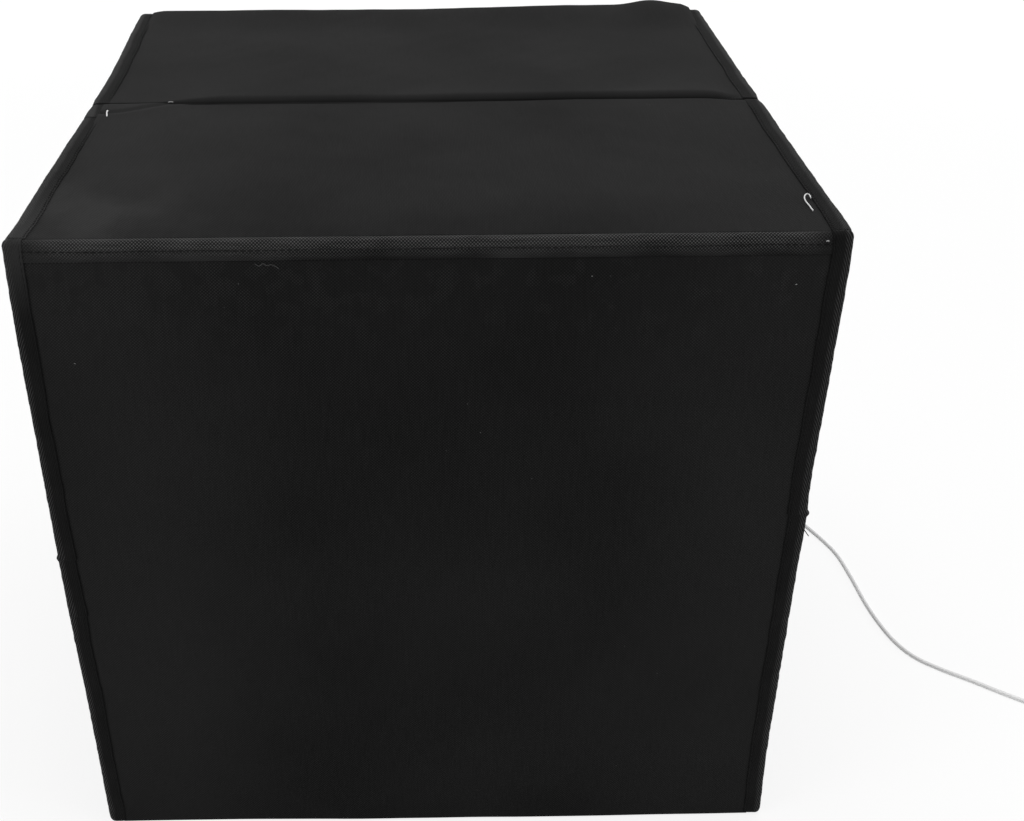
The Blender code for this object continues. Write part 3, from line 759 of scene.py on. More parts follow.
PANELS = {
    "top_rear": (top_place, *along_range("top_rear_skin", 1)),
    "top_front": (top_place, *along_range("top_front_skin", 1)),
    "base": (base_place, *along_range("base_skin", 1)),
    "back": (back_place, *along_range("back_skin", 2)),
}
SIDES = ((-1, "left"), (1, "right"))
CENTRE = (0.0, 0.0, TOP / 2)
BOW_BLEND = 7 * MM
BOWS = {
    ("back", -1): ((0, 0.6), (100, 1.2), (170, 2.5), (340, 2.8), (372, 2.2), (395, 1.4)),
    ("back", 1): (
        (0, 1.3), (50, 0.0), (190, 0.2), (215, 0.8), (250, -0.3), (300, 0.5), (372, 1.4), (384, 1.2),
        (395, 0.6),
    ),
    ("top_rear", -1): (
        (-200, 1.6), (-182, 0.4), (-170, 0.1), (-150, 0.3), (-60, -0.4), (-34, -0.8), (-24, -1.0), (0, -0.6),
    ),
    ("top_rear", 1): (
        (-200, 1.2), (-186, 1.2), (-178, 1.7), (-168, 1.0), (-140, 0.6), (-60, 0.0), (0, 0.0),
    ),
    ("top_front", -1): ((0, -0.6), (40, -1.0), (88, 0.1), (143, 2.3), (183, 3.6), (200, 3.7)),
    ("top_front", 1): ((0, 0.0), (35, -1.0), (200, -1.0)),
}


def edge_bow(name, side, along):
    """How far a bound edge bows outward from the straight line."""
    pairs = np.array(BOWS.get((name, side), ((0, 0),))) * MM
    steps = np.linspace(-BOW_BLEND, BOW_BLEND, 9)
    return sum(np.interp(np.asarray(along) + step, pairs[:, 0], pairs[:, 1]) for step in steps) / len(steps)


def bowed(name, across, along):
    """The places across a sheet, moved so that its margins follow the bowed edges."""
    near = np.clip(np.abs(across) / HALF, 0, 1) ** 8
    outward = np.where(across > 0, edge_bow(name, 1, along), -edge_bow(name, -1, along))
    return across + near * outward


print("bound panels:", ", ".join(PANELS))

# %% [markdown]
# An outer skin is cut a little large, drawn over the board and turned in at its two open edges. A
# box with a bevel would have edges that are too even. edge_profile gives the line that the cloth
# follows: up the turned-in edge, round the shoulder, along the flat and down again. A shoulder
# may be firm or soft, and may change across the panel.

# %% Turned-in edges
SHOULDER_DROP = 1.7 * MM


def edge_profile(low, high, soft_low, soft_high, rim, flat_points):
    """Along and depth values of a turned-in sheet, one column for each place across it."""
    quarter = np.radians(np.linspace(0, 90, 8))[:, None]
    inward = 1 - np.cos(quarter)
    share = np.linspace(0, 1, flat_points)[1:-1, None]
    flat = low + soft_low + (high - low - soft_low - soft_high) * share
    row = 0 * flat[:1]
    shoulder = min(SHOULDER_DROP, rim) * (1 - np.sin(quarter)) + row
    near, far = low + soft_low * inward, high - soft_high * inward
    along = np.vstack([row + low, near, flat, far[::-1], row + high])
    depth = np.vstack([row + rim, shoulder, 0 * flat, shoulder[::-1], row + rim])
    return along, depth


print(f"shoulders of {SHOULDER_DROP / MM:.1f} mm")

# %% [markdown]
# The flat is never flat: it pillows a little off the board and ripples. The top's two halves have
# wide soft shoulders where they meet, which makes the dark valley of the crease. At its left end
# the valley turns off over the rear half. The far edge of the top stands up in a loose lip,
# highest near its right end, and the foot of the back hangs out a little on the right. A
# displacement texture could ripple the cloth but not put these in their places, so each is one
# term of a sum.

# %% How far the skins stand off
SKIN_EDGE = HALF - TAPE_LEG
PILLOW = 0.55 * MM
BROAD_WAVES = (95 * MM, 0.22 * MM)
FINE_WAVES = (30 * MM, 0.06 * MM)
SWELL = (110 * MM, 0.5 * MM)
DEEPEST = -0.25 * MM
LIP_REACH = 62 * MM
LIP_SIDE = 16 * MM
LIP_SPREAD = (-20 * MM, 150 * MM)
LIP_LOW = 2.4 * MM
LIP_RISE = 2.2 * MM
LIP_PEAK = 3.0 * MM
PEAK_AT = 163 * MM
PEAK_WIDE = 15 * MM
CREASE_BOW = 1.5 * MM
BOW_SPREAD = (-40 * MM, 160 * MM)
BOW_SIDE = 25 * MM
BOW_REACH = 30 * MM
LIFTED_EDGE = 2.6 * MM
LIFTED_SPREAD = (-168 * MM, 50 * MM)
LIFTED_SIDE = 20 * MM
LIFTED_REACH = 25 * MM
REAR_SHOULDERS = (1.5 * MM, 1.0 * MM, 3.0 * MM)
REAR_SPREAD = (-160 * MM, 30 * MM)
FRONT_SHOULDERS = (1.0 * MM, 6.0 * MM, 1.6 * MM)
FRONT_SPREAD = (-165 * MM, 55 * MM)
PLAIN_SHOULDERS = (1.2 * MM, 1.4 * MM)
VALLEY_FROM = -142 * MM
VALLEY_RUN = 18 * MM
VALLEY_DEEP = 1.3 * MM
VALLEY_WIDE = 2.4 * MM
VALLEY_TURN = 45 * MM
BANK_FROM = VALLEY_FROM + 6 * MM
BANK_BLEND = 20 * MM
BANK_REACH = 20 * MM
HEM_BULGE = 2.6 * MM
HEM_REACH = 30 * MM
HANG_SPREAD = (-170 * MM, 230 * MM)


def lip_lift(across):
    """How far the far edge of the top stands up."""
    inside = ease((HALF - np.abs(across)) / LIP_SIDE)
    broad = LIP_LOW + LIP_RISE * ramp(across, *LIP_SPREAD)
    return (broad + LIP_PEAK * hump(across - PEAK_AT, PEAK_WIDE)) * inside


def hem_hang(side, past):
    """How far the foot of the back hangs out, on the right."""
    return HEM_BULGE * (side > 0) * fade(past, HEM_REACH)


def skin_lift(name, across, along, low, high):
    """How far a skin stands off its board."""
    u = across / SKIN_EDGE
    v = (2 * along - low - high) / (high - low)
    waves = ripple(across, along, BROAD_WAVES[0], len(name)) * BROAD_WAVES[1]
    waves += ripple(across, along, FINE_WAVES[0], 7 + len(name)) * FINE_WAVES[1]
    lift = PILLOW * taut(u, 4) * taut(v, 6) + waves * taut(u, 8)
    bow = CREASE_BOW * ramp(across, *BOW_SPREAD) * ease((SKIN_EDGE - across) / BOW_SIDE)
    if name == "top_front":
        inside = ease((SKIN_EDGE - across) / LIFTED_SIDE) * ramp(across, *LIFTED_SPREAD)
        lift = lift + lip_lift(across) * ramp(along, high - LIP_REACH, LIP_REACH) ** 1.5
        lift = lift + (bow + LIFTED_EDGE * inside) * fade(along - low, LIFTED_REACH)
    if name == "top_rear":
        past = along + VALLEY_RUN * ease((VALLEY_FROM - across) / VALLEY_TURN)
        left = ease((BANK_FROM - across) / BANK_BLEND)
        bank = VALLEY_DEEP * left * fade(np.abs(past), BANK_REACH) * (1 - 0.95 * hump(past, VALLEY_WIDE))
        swell = SWELL[1] * (1 + ripple(across, along, SWELL[0], 4)) * taut(u, 6) * taut(v, 6)
        lift = lift + bow * fade(high - along, BOW_REACH) + bank + swell
    if name == "back":
        lift = lift + ramp(across, *HANG_SPREAD) * hem_hang(1, along - low)
    return np.maximum(lift, DEEPEST)


def shoulders(name, across):
    """Widths of the soft shoulders at the low and the high edge of a skin."""
    if name == "top_rear":
        low, high, wider = REAR_SHOULDERS
        return low, high + wider * ramp(across, *REAR_SPREAD)
    if name == "top_front":
        low, wider, high = FRONT_SHOULDERS
        return low + wider * ramp(across, *FRONT_SPREAD), high
    return PLAIN_SHOULDERS


middle_lift = skin_lift("top_rear", np.zeros((1, 1)), np.full((1, 1), -100 * MM), *PANELS["top_rear"][1:])
print(f"the rear half stands {float(middle_lift[0, 0]) / MM:.2f} mm off its board at its middle")

# %% [markdown]
# Each skin is a grid bent by these functions and thickened inward.
# One layer would be enough to look at, but when the hatch lies back, the loose cloth of the top
# has to be pressed flat. So the loose cloth is a layer of its own over a firm one.

# %% Skins of the bound panels
SKIN_THICK = 0.6 * MM
UNDER_TAPE = 2.0 * MM
TURNED_IN = PANEL - 1.1 * MM
SPINE_LAP = SPINE_Y + 0.2 * MM
BAND_LAP = BAND_LOW + 0.5 * MM
LOOSE_TOPS = ("top_front", "top_rear")
UNDER_DROP = 0.25 * MM
UNDER_SHOULDER = 1.2 * MM


def skin_layer(title, name, across, along, depth, lift, rim):
    """One layer of a panel's outer fabric, riding on its body."""
    place = PANELS[name][0]
    skin = grid_piece(title, place(bowed(name, across, along), along, depth - lift), skin_finish)
    face_outward(skin, CENTRE)
    thicken(skin, SKIN_THICK)
    dress(skin, name)
    return skin


def loose_layer(name, across, along, depth, lift):
    """The loose cloth of the top, without its turned-in rows, on a mesh of its own."""
    inner_rows = (values[1:-1] for values in (along, depth, lift))
    loose = skin_layer(f"{name}_loose_cloth", name, across, *inner_rows, SHOULDER_DROP)
    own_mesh(loose)


def bound_skin(name):
    """The outer fabric of one bound panel, with its loose layer if it is a part of the top."""
    place, low, high = PANELS[name]
    low = SPINE_LAP if name == "top_rear" else low
    high = BAND_LAP if name == "back" else high
    reach = SKIN_EDGE + UNDER_TAPE
    across = np.linspace(-reach, reach, 121)[None, :]
    soft_low, soft_high = (value + 0 * across for value in shoulders(name, across))
    along, depth = edge_profile(low, high, soft_low, soft_high, TURNED_IN, 90)
    share = np.clip(1 - depth / TURNED_IN, 0, 1)
    if name == "top_front":
        near_share = np.clip(1 - depth / SHOULDER_DROP, 0, 1) ** 0.7
        share = np.where(along > (low + high) / 2, share**0.2, near_share)
    lift = skin_lift(name, across, along, low, high) * share * (name != "base")
    if name in LOOSE_TOPS:
        loose_layer(name, across, along, depth, lift)
        firm = UNDER_SHOULDER + 0 * across
        along, depth = edge_profile(low, high, firm, firm, TURNED_IN, 40)
        lift = -UNDER_DROP * np.clip(1 - depth / TURNED_IN, 0, 1)
    skin = skin_layer(f"{name}_cloth", name, across, along, depth, lift, TURNED_IN)
    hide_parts(f"{name}_skin")


for name in PANELS:
    bound_skin(name)
print("skins:", len(PANELS))

# %% [markdown]
# Linings close the inside of each panel. They could be flat planes, but silver shows every swell
# in its highlights. They are thin and taut, with shallow pillows between the tape legs, so a
# simple grid with a small ripple is enough.

# %% Linings
LINING_THICK = 0.35 * MM
LINING_LAP = 1.0 * MM
LINING_SINK = 0.1 * MM
LINING_RISE = 0.15 * MM
LINING_WAVES = (60 * MM, 0.25 * MM)


def lining(name, place, across_range, low, high, depth, body):
    """A thin silver sheet over the inside of a panel, facing inward."""
    across = np.linspace(*across_range, 50)[None, :]
    along = np.linspace(low, high, 50)[:, None]
    middle = (across_range[0] + across_range[1]) / 2
    u = (across - middle) / (across_range[1] - middle)
    v = (2 * along - low - high) / (high - low)
    waves = LINING_WAVES[1] * ripple(across, along, LINING_WAVES[0], len(name) + 3)
    rise = taut(u, 6) * taut(v, 6) * (LINING_RISE + waves)
    points = place(bowed(name, across, along), along, depth + rise)
    sheet = grid_piece(f"{name}_silver", points, silver_finish)
    face_outward(sheet, CENTRE)
    sheet.data.flip_normals()
    thicken(sheet, LINING_THICK)
    dress(sheet, body, [f"{name}_lining"])


inner = SKIN_EDGE + LINING_LAP
for name, (place, low, high) in PANELS.items():
    lining(name, place, (-inner, inner), low, high, PANEL - LINING_SINK, name)
print("linings of the bound panels ready")

# %% [markdown]
# The side walls are halves that fold inward. Each half has a skin that turns in at its front and
# rear edges, and the skin swells a little towards the crease at half height, because the folded
# cloth there never lies flat again. It stays low, since the two halves lie face to face when the
# cube is folded. One sheet over both halves would tear at the fold, so each half has its own,
# made with the same profile as the panels.

# %% Side walls
CREASE_SWELL = 0.36 * MM
SWELL_REACH = 14 * MM
FOLD_WIDE = 3 * MM
FOLD_LEFT = 0.35
WALL_PILLOW = 0.12 * MM
WALL_WAVES = (70 * MM, 0.25 * MM)
WALL_MARGIN = 8 * MM
WALL_DROP = -0.2 * MM
WALL_LIFT = 0.36 * MM
WALL_THICK = WALL_OUT - WALL_IN
WALL_RIM = WALL_THICK - 1.0 * MM
REAR_SHOULDER = np.array([[1.2 * MM]])
FRONT_SHOULDER = np.array([[1.8 * MM]])


def wall_half(side, word, half):
    """The outer fabric and the lining of one half of a side wall."""
    name = f"{word}_{half}"
    place = wall_place(side)
    rear, front = along_range(f"{name}_skin", 1)
    low, high = along_range(f"{name}_skin", 2)
    across, depth = edge_profile(rear, front, REAR_SHOULDER, FRONT_SHOULDER, WALL_RIM, 60)
    across, depth = across.T, depth.T
    along = np.linspace(low, high, 60)[:, None]
    crease = high if half == "lower" else low
    swell = CREASE_SWELL * hump(along - crease, SWELL_REACH)
    swell = swell * ease(np.abs(along - crease) / FOLD_WIDE + FOLD_LEFT)
    waves = WALL_WAVES[1] * ripple(across, along, WALL_WAVES[0], len(name) + side)
    edge = np.clip((along - low) / WALL_MARGIN, 0, 1) * np.clip((high - along) / WALL_MARGIN, 0, 1)
    lift = np.clip(swell + WALL_PILLOW * edge + waves * edge, WALL_DROP, WALL_LIFT)
    lift = lift * np.clip(1 - depth / WALL_RIM, 0, 1)
    skin = grid_piece(f"{name}_cloth", place(across, along, depth - lift), skin_finish)
    face_outward(skin, CENTRE)
    thicken(skin, SKIN_THICK)
    dress(skin, name, [f"{name}_skin"])
    lining(name, place, (rear, front), low, high, WALL_THICK - LINING_SINK, name)


for side, word in SIDES:
    for half in ("lower", "upper"):
        wall_half(side, word, half)
print("side walls ready")

# %% [markdown]
# Where cloth folds, it gathers into a soft cord: on each wall at half height, and along the
# crease of the top. A plain cylinder would look like wire. So each cord is a grid closed into a
# tube, whose thickness changes as that of gathered cloth does.

# %% Crease cords
CREASE_TALL = 1.75
CORD_WAVE = 26 * MM
CORD_SIZE = (0.92, 0.1)


def soft_cord(name, axis, body, node, seed, tall=1.0):
    """A thin uneven roll of cloth that fills a solid along one axis, stretched upward by tall."""
    low, high = (np.array(corner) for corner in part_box(node))
    middle = (low + high) / 2
    start, end = middle.copy(), middle.copy()
    start[axis], end[axis] = low[axis], high[axis]
    t = np.linspace(0, 1, 90)[:, None]
    turn = np.linspace(0, 2 * math.pi, 11)[None, :-1]
    line = start + (end - start) * t
    along = np.linalg.norm(end - start) * t
    uneven = CORD_SIZE[0] + CORD_SIZE[1] * ripple(along, turn * 4 * MM, CORD_WAVE, seed)
    size = (high[2] - low[2]) / 2 * uneven
    upward = np.array([0, 0, 1.0])
    sideways = np.cross((end - start) / np.linalg.norm(end - start), upward)
    ring = tall * upward * np.cos(turn)[..., None] + sideways * np.sin(turn)[..., None]
    points = line[:, None, :] + ring * size[..., None]
    roll = grid_piece(name, points, spine_finish, closed=True, capped=True)
    dress(roll, body, [node])


for side, word in SIDES:
    soft_cord(f"{word}_crease_roll", 1, f"{word}_lower", f"{word}_crease_bead", 5 + side, CREASE_TALL)
soft_cord("top_seam_roll", 0, "top_rear", "top_seam_bead", 9)
print("crease cords ready")

# %% [markdown]
# Hand-fed tape never runs quite straight, so its hem wanders a little. Where one length of tape
# laps over the next, the hem jumps outward and eases back. A random step at every row would be
# jagged, so the sway is a sum of two smooth ripples.

# %% How the tape wanders
SWAYS = ((45 * MM, 0.35 * MM), (12 * MM, 0.15 * MM))
NARROW = 0.9 * MM
JOINT_OUT = 0.9 * MM
JOINT_REACH = 20 * MM


def uneven_line(along, waves, seed):
    """Ripples of several lengths and sizes added up along a line."""
    return sum(size * ripple(along, along * 0, wave, seed + k) for k, (wave, size) in enumerate(waves))


def hem_sway(along, seed, joints=()):
    """How far the hem wanders, with a small jump where one length of tape laps over the next."""
    along = np.asarray(along, float)
    sway = uneven_line(along, SWAYS, seed) - NARROW * (len(joints) > 1)
    for joint, _ in joints:
        sway = sway + JOINT_OUT * ease((along - joint) / MM) * fade(np.maximum(along - joint, 0), JOINT_REACH)
    return sway


print("hem at three places:", (hem_sway([0.0, 0.1, 0.2], 1) / MM).round(2), "mm")

# %% [markdown]
# Binding tape is swept along the edge: its cross-section is a narrow C that holds the panel. A
# curve with a bevel could do that if the section never changed. But it lies about half a
# millimetre proud of the cloth, with a raised hem at its inner edge and a groove where the
# stitches pull it down. At an open end the tape turns round the corner and closes, and at the
# crease it is pinched. The tape of the back runs on over the end of the spine roll and closes in
# a round crown. So each row along the tape is a C of its own.

# %% Tape sections
PROUD = 0.7 * MM
GROOVE_IN = 1.15 * MM
GROOVE_UP = 0.2 * MM
SHALLOW = -0.3
GROOVES = {("top_rear", -1): 0.1, ("top_front", -1): 0.0, ("top_rear", 1): -0.05}
HEM_RIDGE = ((0.0, -0.1), (0.25, -0.52), (0.55, -0.6), (0.8, -0.52))
LEG_FLAT = ((1.7, -0.52), (3.0, -0.62), (5.0, -0.6))
LEG_END = 2.7 * MM
TAPE_CLOTH = 0.45 * MM
TAPE_ROW = 1.5 * MM
ROUGHNESS = ((13 * MM, 0.13 * MM), (4.5 * MM, 0.08 * MM))
JOINT_WIDE = 1.3 * MM
JOINT_STEP = 0.35 * MM
STEP_RISE = 0.5 * MM
STEP_REACH = 9 * MM
JOINT_ROWS = (-2, -1, -0.4, 0, 0.4, 1, 2)
CORNER_TURNS = (12, 25, 38, 51, 64, 77)
CROWN_TURNS = (12, 25, 38, 50, 62, 72, 80, 86)
CROWN = PANEL / 2 + PROUD
CROWN_ROUND = 3.2 * MM
EDGE_ROUND = 0.9
FOLDED_END = 0.35
END_CLOSE = 2.4 * MM
END_OPEN = 0.15
PINCH_DEPTH = {-1: 0.5 * MM, 1: 0.9 * MM}
FLAT_REACH = 20.0 * MM


def leg_section(reach, groove):
    """Inward distances and depths of one leg, from its hem to the rounded edge."""
    pairs = (*HEM_RIDGE, (GROOVE_IN / MM, groove), *LEG_FLAT)
    return [(reach - inward * MM, depth * MM) for inward, depth in pairs] + [(LEG_END, -PROUD)]


def tape_rows(name, low, high, round_low, round_high, joints):
    """Places of a tape's rows, close together at its joints, at round corners and on the crown."""
    even = np.linspace(low, high, max(60, int((high - low) / TAPE_ROW)))
    extra = [joint + step * MM for joint, _ in joints for step in JOINT_ROWS]
    bends = 1 - np.cos(np.radians(CORNER_TURNS))
    extra += list(high - round_high * bends) if round_high else []
    extra += list(low + round_low * bends) if name == "back" else []
    along = np.sort(np.concatenate([even, extra]))
    if name == "back":
        along = np.append(along, SPINE_Z + CROWN * np.sin(np.radians(CROWN_TURNS)))
    return along


def tape_closing(name, along, low, high, round_low, round_high):
    """How much of its thickness the tape keeps: its round ends and the crown close."""
    kept = np.ones(len(along))
    if round_low:
        kept[0] = FOLDED_END
    for wanted, gap in ((round_high, high - along), (round_low * (name == "back"), along - low)):
        if wanted:
            closing = np.clip(gap / END_CLOSE, 0, 1)
            kept = np.minimum(kept, np.maximum(np.sqrt(1 - (1 - closing) ** 2), END_OPEN))
    if name == "back":
        crown = along > SPINE_Z
        kept[crown] = np.sqrt(1 - ((along[crown] - SPINE_Z) / CROWN) ** 2)
    return kept


def tape_section(name, side, gaps, rounds, pinches, past_joints, crown_share, sway, bow, uneven):
    """One row across the C: outer leg, rounded edge, inner leg, as (across, depth)."""
    corner = CROWN_ROUND * (1 - math.sqrt(1 - crown_share**2))
    bump_out, step_up = uneven, 0.0
    for wanted, gap in zip(rounds, gaps):
        if wanted and gap < wanted:
            corner = max(corner, wanted - math.sqrt(max(wanted**2 - (wanted - gap) ** 2, 0.0)))
    for wanted, gap in zip(pinches, gaps):
        if wanted:
            corner += PINCH_DEPTH[side] * (1 - ease(gap / wanted))
            step_up -= PROUD * max(0.0, 1 - gap / FLAT_REACH)
    for past, bulge in past_joints:
        bump_out += bulge * hump(past, JOINT_WIDE)
        step_up += JOINT_STEP * ease(past / STEP_RISE) * fade(max(past, 0), STEP_REACH)
    leg = leg_section(TAPE_LEG + sway, GROOVES.get((name, side), SHALLOW))
    outer = [(HALF - a, d - step_up * min(1.0, -d / PROUD)) for a, d in leg]
    inner_leg = [(x, PANEL - d) for x, d in outer[::-1]]
    radius = PANEL / 2 + PROUD + step_up
    end = HALF + PROUD + bump_out - corner
    limit = end - EDGE_ROUND * radius
    turns = np.radians(np.linspace(0, 180, 11))[1:-1]
    edge = [
        (end - radius * EDGE_ROUND * (1 - math.sin(turn)), PANEL / 2 - radius * math.cos(turn))
        for turn in turns
    ]
    section = [(min(x, limit), d) for x, d in outer] + edge + [(min(x, limit), d) for x, d in inner_leg]
    return [(side * (x + bow), d) for x, d in section]


def tape_points(name, side, low, high, rounds, pinches, seed, joints=()):
    """The grid of a bound edge, rows along it and columns across the C."""
    place = PANELS[name][0]
    along = tape_rows(name, low, high, *rounds, joints)
    crown_shares = np.clip((along - SPINE_Z) / CROWN, 0, 1) * (name == "back")
    sways, bows = hem_sway(along, seed, joints), edge_bow(name, side, along)
    rough = uneven_line(along, ROUGHNESS, seed + 2)
    grid = []
    for v, *row in zip(along, crown_shares, sways, bows, rough):
        past_joints = [(v - joint, bulge) for joint, bulge in joints]
        gaps = (v - low, high - v)
        grid.append(tape_section(name, side, gaps, rounds, pinches, past_joints, *row))
    grid = np.array(grid)
    if name == "back":
        hang = hem_hang(side, along - low)
        grid[..., 1] -= hang[:, None] * np.clip(1 - grid[..., 1] / PANEL, 0, 1)
    kept = tape_closing(name, along, low, high, *rounds)
    depth = PANEL / 2 + (grid[..., 1] - PANEL / 2) * kept[:, None]
    return place(grid[..., 0], along[:, None], depth)


print("the tape stands", round(PROUD / MM, 1), "mm proud of the cloth")

# %% [markdown]
# Stitches could be a dashed bump, but a bump goes flat where the light grazes the tape. So they
# are real little threads. Each one is a thin spindle that dips into the groove at both ends. A
# row of them follows any line of points, with the gap between stitches that a machine leaves.

# %% Stitch rows
STITCH = 2.7 * MM
STITCH_GAP = 1.0 * MM
THREAD_R = 0.2 * MM
THREAD_SIDES = 5
SPINDLE = ((0, 0.25, -0.5), (0.22, 1, 0.3), (0.5, 1.05, 0.6), (0.78, 1, 0.3), (1, 0.25, -0.5))


def stitch_row(name, line, outward, body):
    """Short threads along a line of points; outward is the direction that they arch."""
    line = np.asarray(line, float)
    outward = np.asarray(outward, float)
    at = distance_along(line)
    starts = np.arange(STITCH_GAP, at[-1] - STITCH, STITCH + STITCH_GAP)
    round_turns = [2 * math.pi * k / THREAD_SIDES for k in range(THREAD_SIDES)]
    points, faces = [], []
    for s in starts:
        ends = np.array([[np.interp(x, at, line[:, k]) for k in range(3)] for x in (s, s + STITCH)])
        forward = (ends[1] - ends[0]) / np.linalg.norm(ends[1] - ends[0])
        sideways = np.cross(forward, outward)
        first = len(points)
        for t, size, arch in SPINDLE:
            middle = ends[0] + (ends[1] - ends[0]) * t + outward * arch * THREAD_R
            for turn in round_turns:
                spoke = sideways * math.cos(turn) + outward * math.sin(turn)
                points.append(middle + THREAD_R * size * spoke)
        rings = [range(start, start + THREAD_SIDES) for start in range(first, len(points), THREAD_SIDES)]
        for ring, after in zip(rings, rings[1:]):
            for k in range(THREAD_SIDES):
                past = (k + 1) % THREAD_SIDES
                faces.append((ring[k], ring[past], after[past], after[k]))
        faces.append(tuple(rings[0])[::-1])
        faces.append(tuple(rings[-1]))
    dress(mesh_piece(name, points, faces, black_thread), body)
    return len(starts)


print(f"one stitch every {(STITCH + STITCH_GAP) / MM:.1f} mm")

# %% [markdown]
# Base, back and both halves of the top are bound along their left and right edges. Each edge gets
# its tape and a row of stitches on either face. The eight edges could be made one by one. One loop
# makes them alike, and two tables hold what differs: EDGES says how round the tape's two ends are
# and where it is pinched, JOINTS where one length laps over the next.

# %% Bind the side edges of base, top and back
CORNER_ROUND = 4.6 * MM
PINCH = 10.0 * MM
EDGES = {
    "top_rear": ((4.0 * MM, 0.0), (0.0, PINCH)),
    "top_front": ((0.0, CORNER_ROUND), (PINCH, 0.0)),
    "base": ((2.0 * MM, CORNER_ROUND), (0.0, 0.0)),
    "back": ((CORNER_ROUND, 0.0), (0.0, 0.0)),
}
JOINTS = {
    ("top_rear", -1): ((-26 * MM, -0.6 * MM),),
    ("back", -1): ((164 * MM, 0.2 * MM), (203.5 * MM, 0.9 * MM)),
    ("back", 1): ((226.5 * MM, 1.2 * MM),),
}
ROW_MARGIN = 3 * MM
stitches = 0
for name, (place, low, high) in PANELS.items():
    rounds, pinches = EDGES[name]
    start = SPINE_LAP if name == "top_rear" else low
    high = SPINE_Z if name == "back" else high
    clear_low, clear_high = (max(ROW_MARGIN, 0.9 * pinch) for pinch in pinches)
    along = np.linspace(low + clear_low, high - clear_high, 160)
    for side, word in SIDES:
        seed, joints = 20 + 3 * len(name) + side, JOINTS.get((name, side), ())
        points = tape_points(name, side, start, high, rounds, pinches, seed, joints)
        tape = grid_piece(f"{name}_tape_{word}", points, tape_finish)
        face_outward(tape, place(side * (HALF - 4 * MM), (low + high) / 2, PANEL / 2))
        thicken(tape, TAPE_CLOTH)
        dress(tape, name, [f"{name}_binding_{word}"])
        inward = TAPE_LEG + hem_sway(along, seed, joints) - GROOVE_IN - edge_bow(name, side, along)
        hang = hem_hang(side, along - low) * (name == "back")
        for leg, depth, sign in (("outer", 0.0, -1), ("inner", PANEL, 1)):
            row_depth = depth + sign * GROOVE_UP - hang * (1 - depth / PANEL)
            line = place(side * (HALF - inward), along, row_depth)
            outward = place(0.0, 0.0, sign * 1.0) - place(0.0, 0.0, 0.0)
            stitches += stitch_row(f"{name}_stitches_{word}_{leg}", line, outward, name)
print("tapes bound,", stitches, "stitches")

# %% [markdown]
# The spine is the soft roll where the top meets the back. A squashed cylinder would be too even,
# so a section with a seam in it is swept along the edge and grows fuller and flatter on the way.
# Its cloth has a coarse open weave, whose raised threads carry a painted highlight. It turns with
# the back panel about the middle of the roll, so it stays in touch with the top whatever the panel
# does. A row of stitches runs below its crown.

# %% Spine band
SPINE_PUFF = 0.9 * MM
SPINE_IN = 5 * MM
SEAM_Z = TOP - 5.2 * MM
SEAM_WIDE = 0.8 * MM
SEAM_DEEP = 0.8
SEAM_OUT = 0.35 * MM
SEAM_SWAY = 0.25 * MM
SEAM_BENDS = 90
PUFF_WAVE = 34 * MM
PUFF_END = (7.5 * MM, 7 * MM)


def spine_section(puff):
    """The outline round the roll as (y, z): up the back face, over the roll, down the inside."""
    radius = PANEL / 2
    heights = np.linspace(BAND_LOW, SPINE_Z, 14)
    share = (heights - BAND_LOW) / (SPINE_Z - BAND_LOW)
    wave = np.sin(np.pi * share)
    swell = puff * np.where(share < 0.5, wave**1.3, wave**0.6)
    swell = swell * (1 - SEAM_DEEP * hump(heights - SEAM_Z, SEAM_WIDE))
    outer = [(BACK - s, z) for z, s in zip(heights, swell)]
    turns = np.radians(np.linspace(0, 180, 13))[1:]
    over = [(SPINE_Y - radius * math.cos(t), SPINE_Z + radius * math.sin(t)) for t in turns]
    inside = [(SPINE_Y + radius, z) for z in np.linspace(SPINE_Z, BAND_LOW, 4)[1:]]
    return np.array(outer + over + inside)


def spine_piece():
    """The padded roll, fuller and flatter along its length, with its row of stitches."""
    section = spine_section(SPINE_PUFF)
    front = section[:, 0] < BACK
    across = np.linspace(-HALF + SPINE_IN, HALF - SPINE_IN, 180)
    rows = []
    for x in across:
        fullness = 1 + 0.5 * float(ripple(np.array(x), np.array(0.0), PUFF_WAVE, 31))
        fullness *= ease((HALF - PUFF_END[0] - abs(x)) / PUFF_END[1])
        y = section[:, 0].copy()
        y[front] = BACK - (BACK - y[front]) * fullness
        rows.append(np.stack([np.full(len(y), x), y, section[:, 1]], axis=1))
    piece = grid_piece("spine_roll", rows, spine_finish, closed=True, capped=True)
    face_outward(piece, (0, SPINE_Y, SPINE_Z - 3 * MM))
    dress(piece, "back", ["spine_band"])
    line = [(x, BACK - SEAM_OUT, SEAM_Z + SEAM_SWAY * math.sin(x * SEAM_BENDS)) for x in across]
    stitch_row("spine_stitches", line, (0, -1, 0), "back")


spine_piece()
print("spine ready")

# %% [markdown]
# The rails under the top's side edges are stiff strips wrapped in the same cloth, and strips of
# hook-and-loop pile hold the back to the walls. A cube with a bevel could stand for either. A
# rounded section swept along the strip also carries the cloth map and a gentle ripple, and so
# reads as a fabric-covered batten.

# %% Rails
RAIL_ROUND = 1.2 * MM
STRIP_ROUND = 0.3 * MM
BAR_WAVE = 50 * MM


def rounded_box_section(half_a, half_b, radius, steps=5):
    """Points round a rectangle with rounded corners."""
    points = []
    for quarter, (a, b) in enumerate(((1, 1), (-1, 1), (-1, -1), (1, -1))):
        for t in np.linspace(0, math.pi / 2, steps):
            turn = t + quarter * math.pi / 2
            x = a * (half_a - radius) + radius * math.cos(turn)
            points.append((x, b * (half_b - radius) + radius * math.sin(turn)))
    return np.array(points)


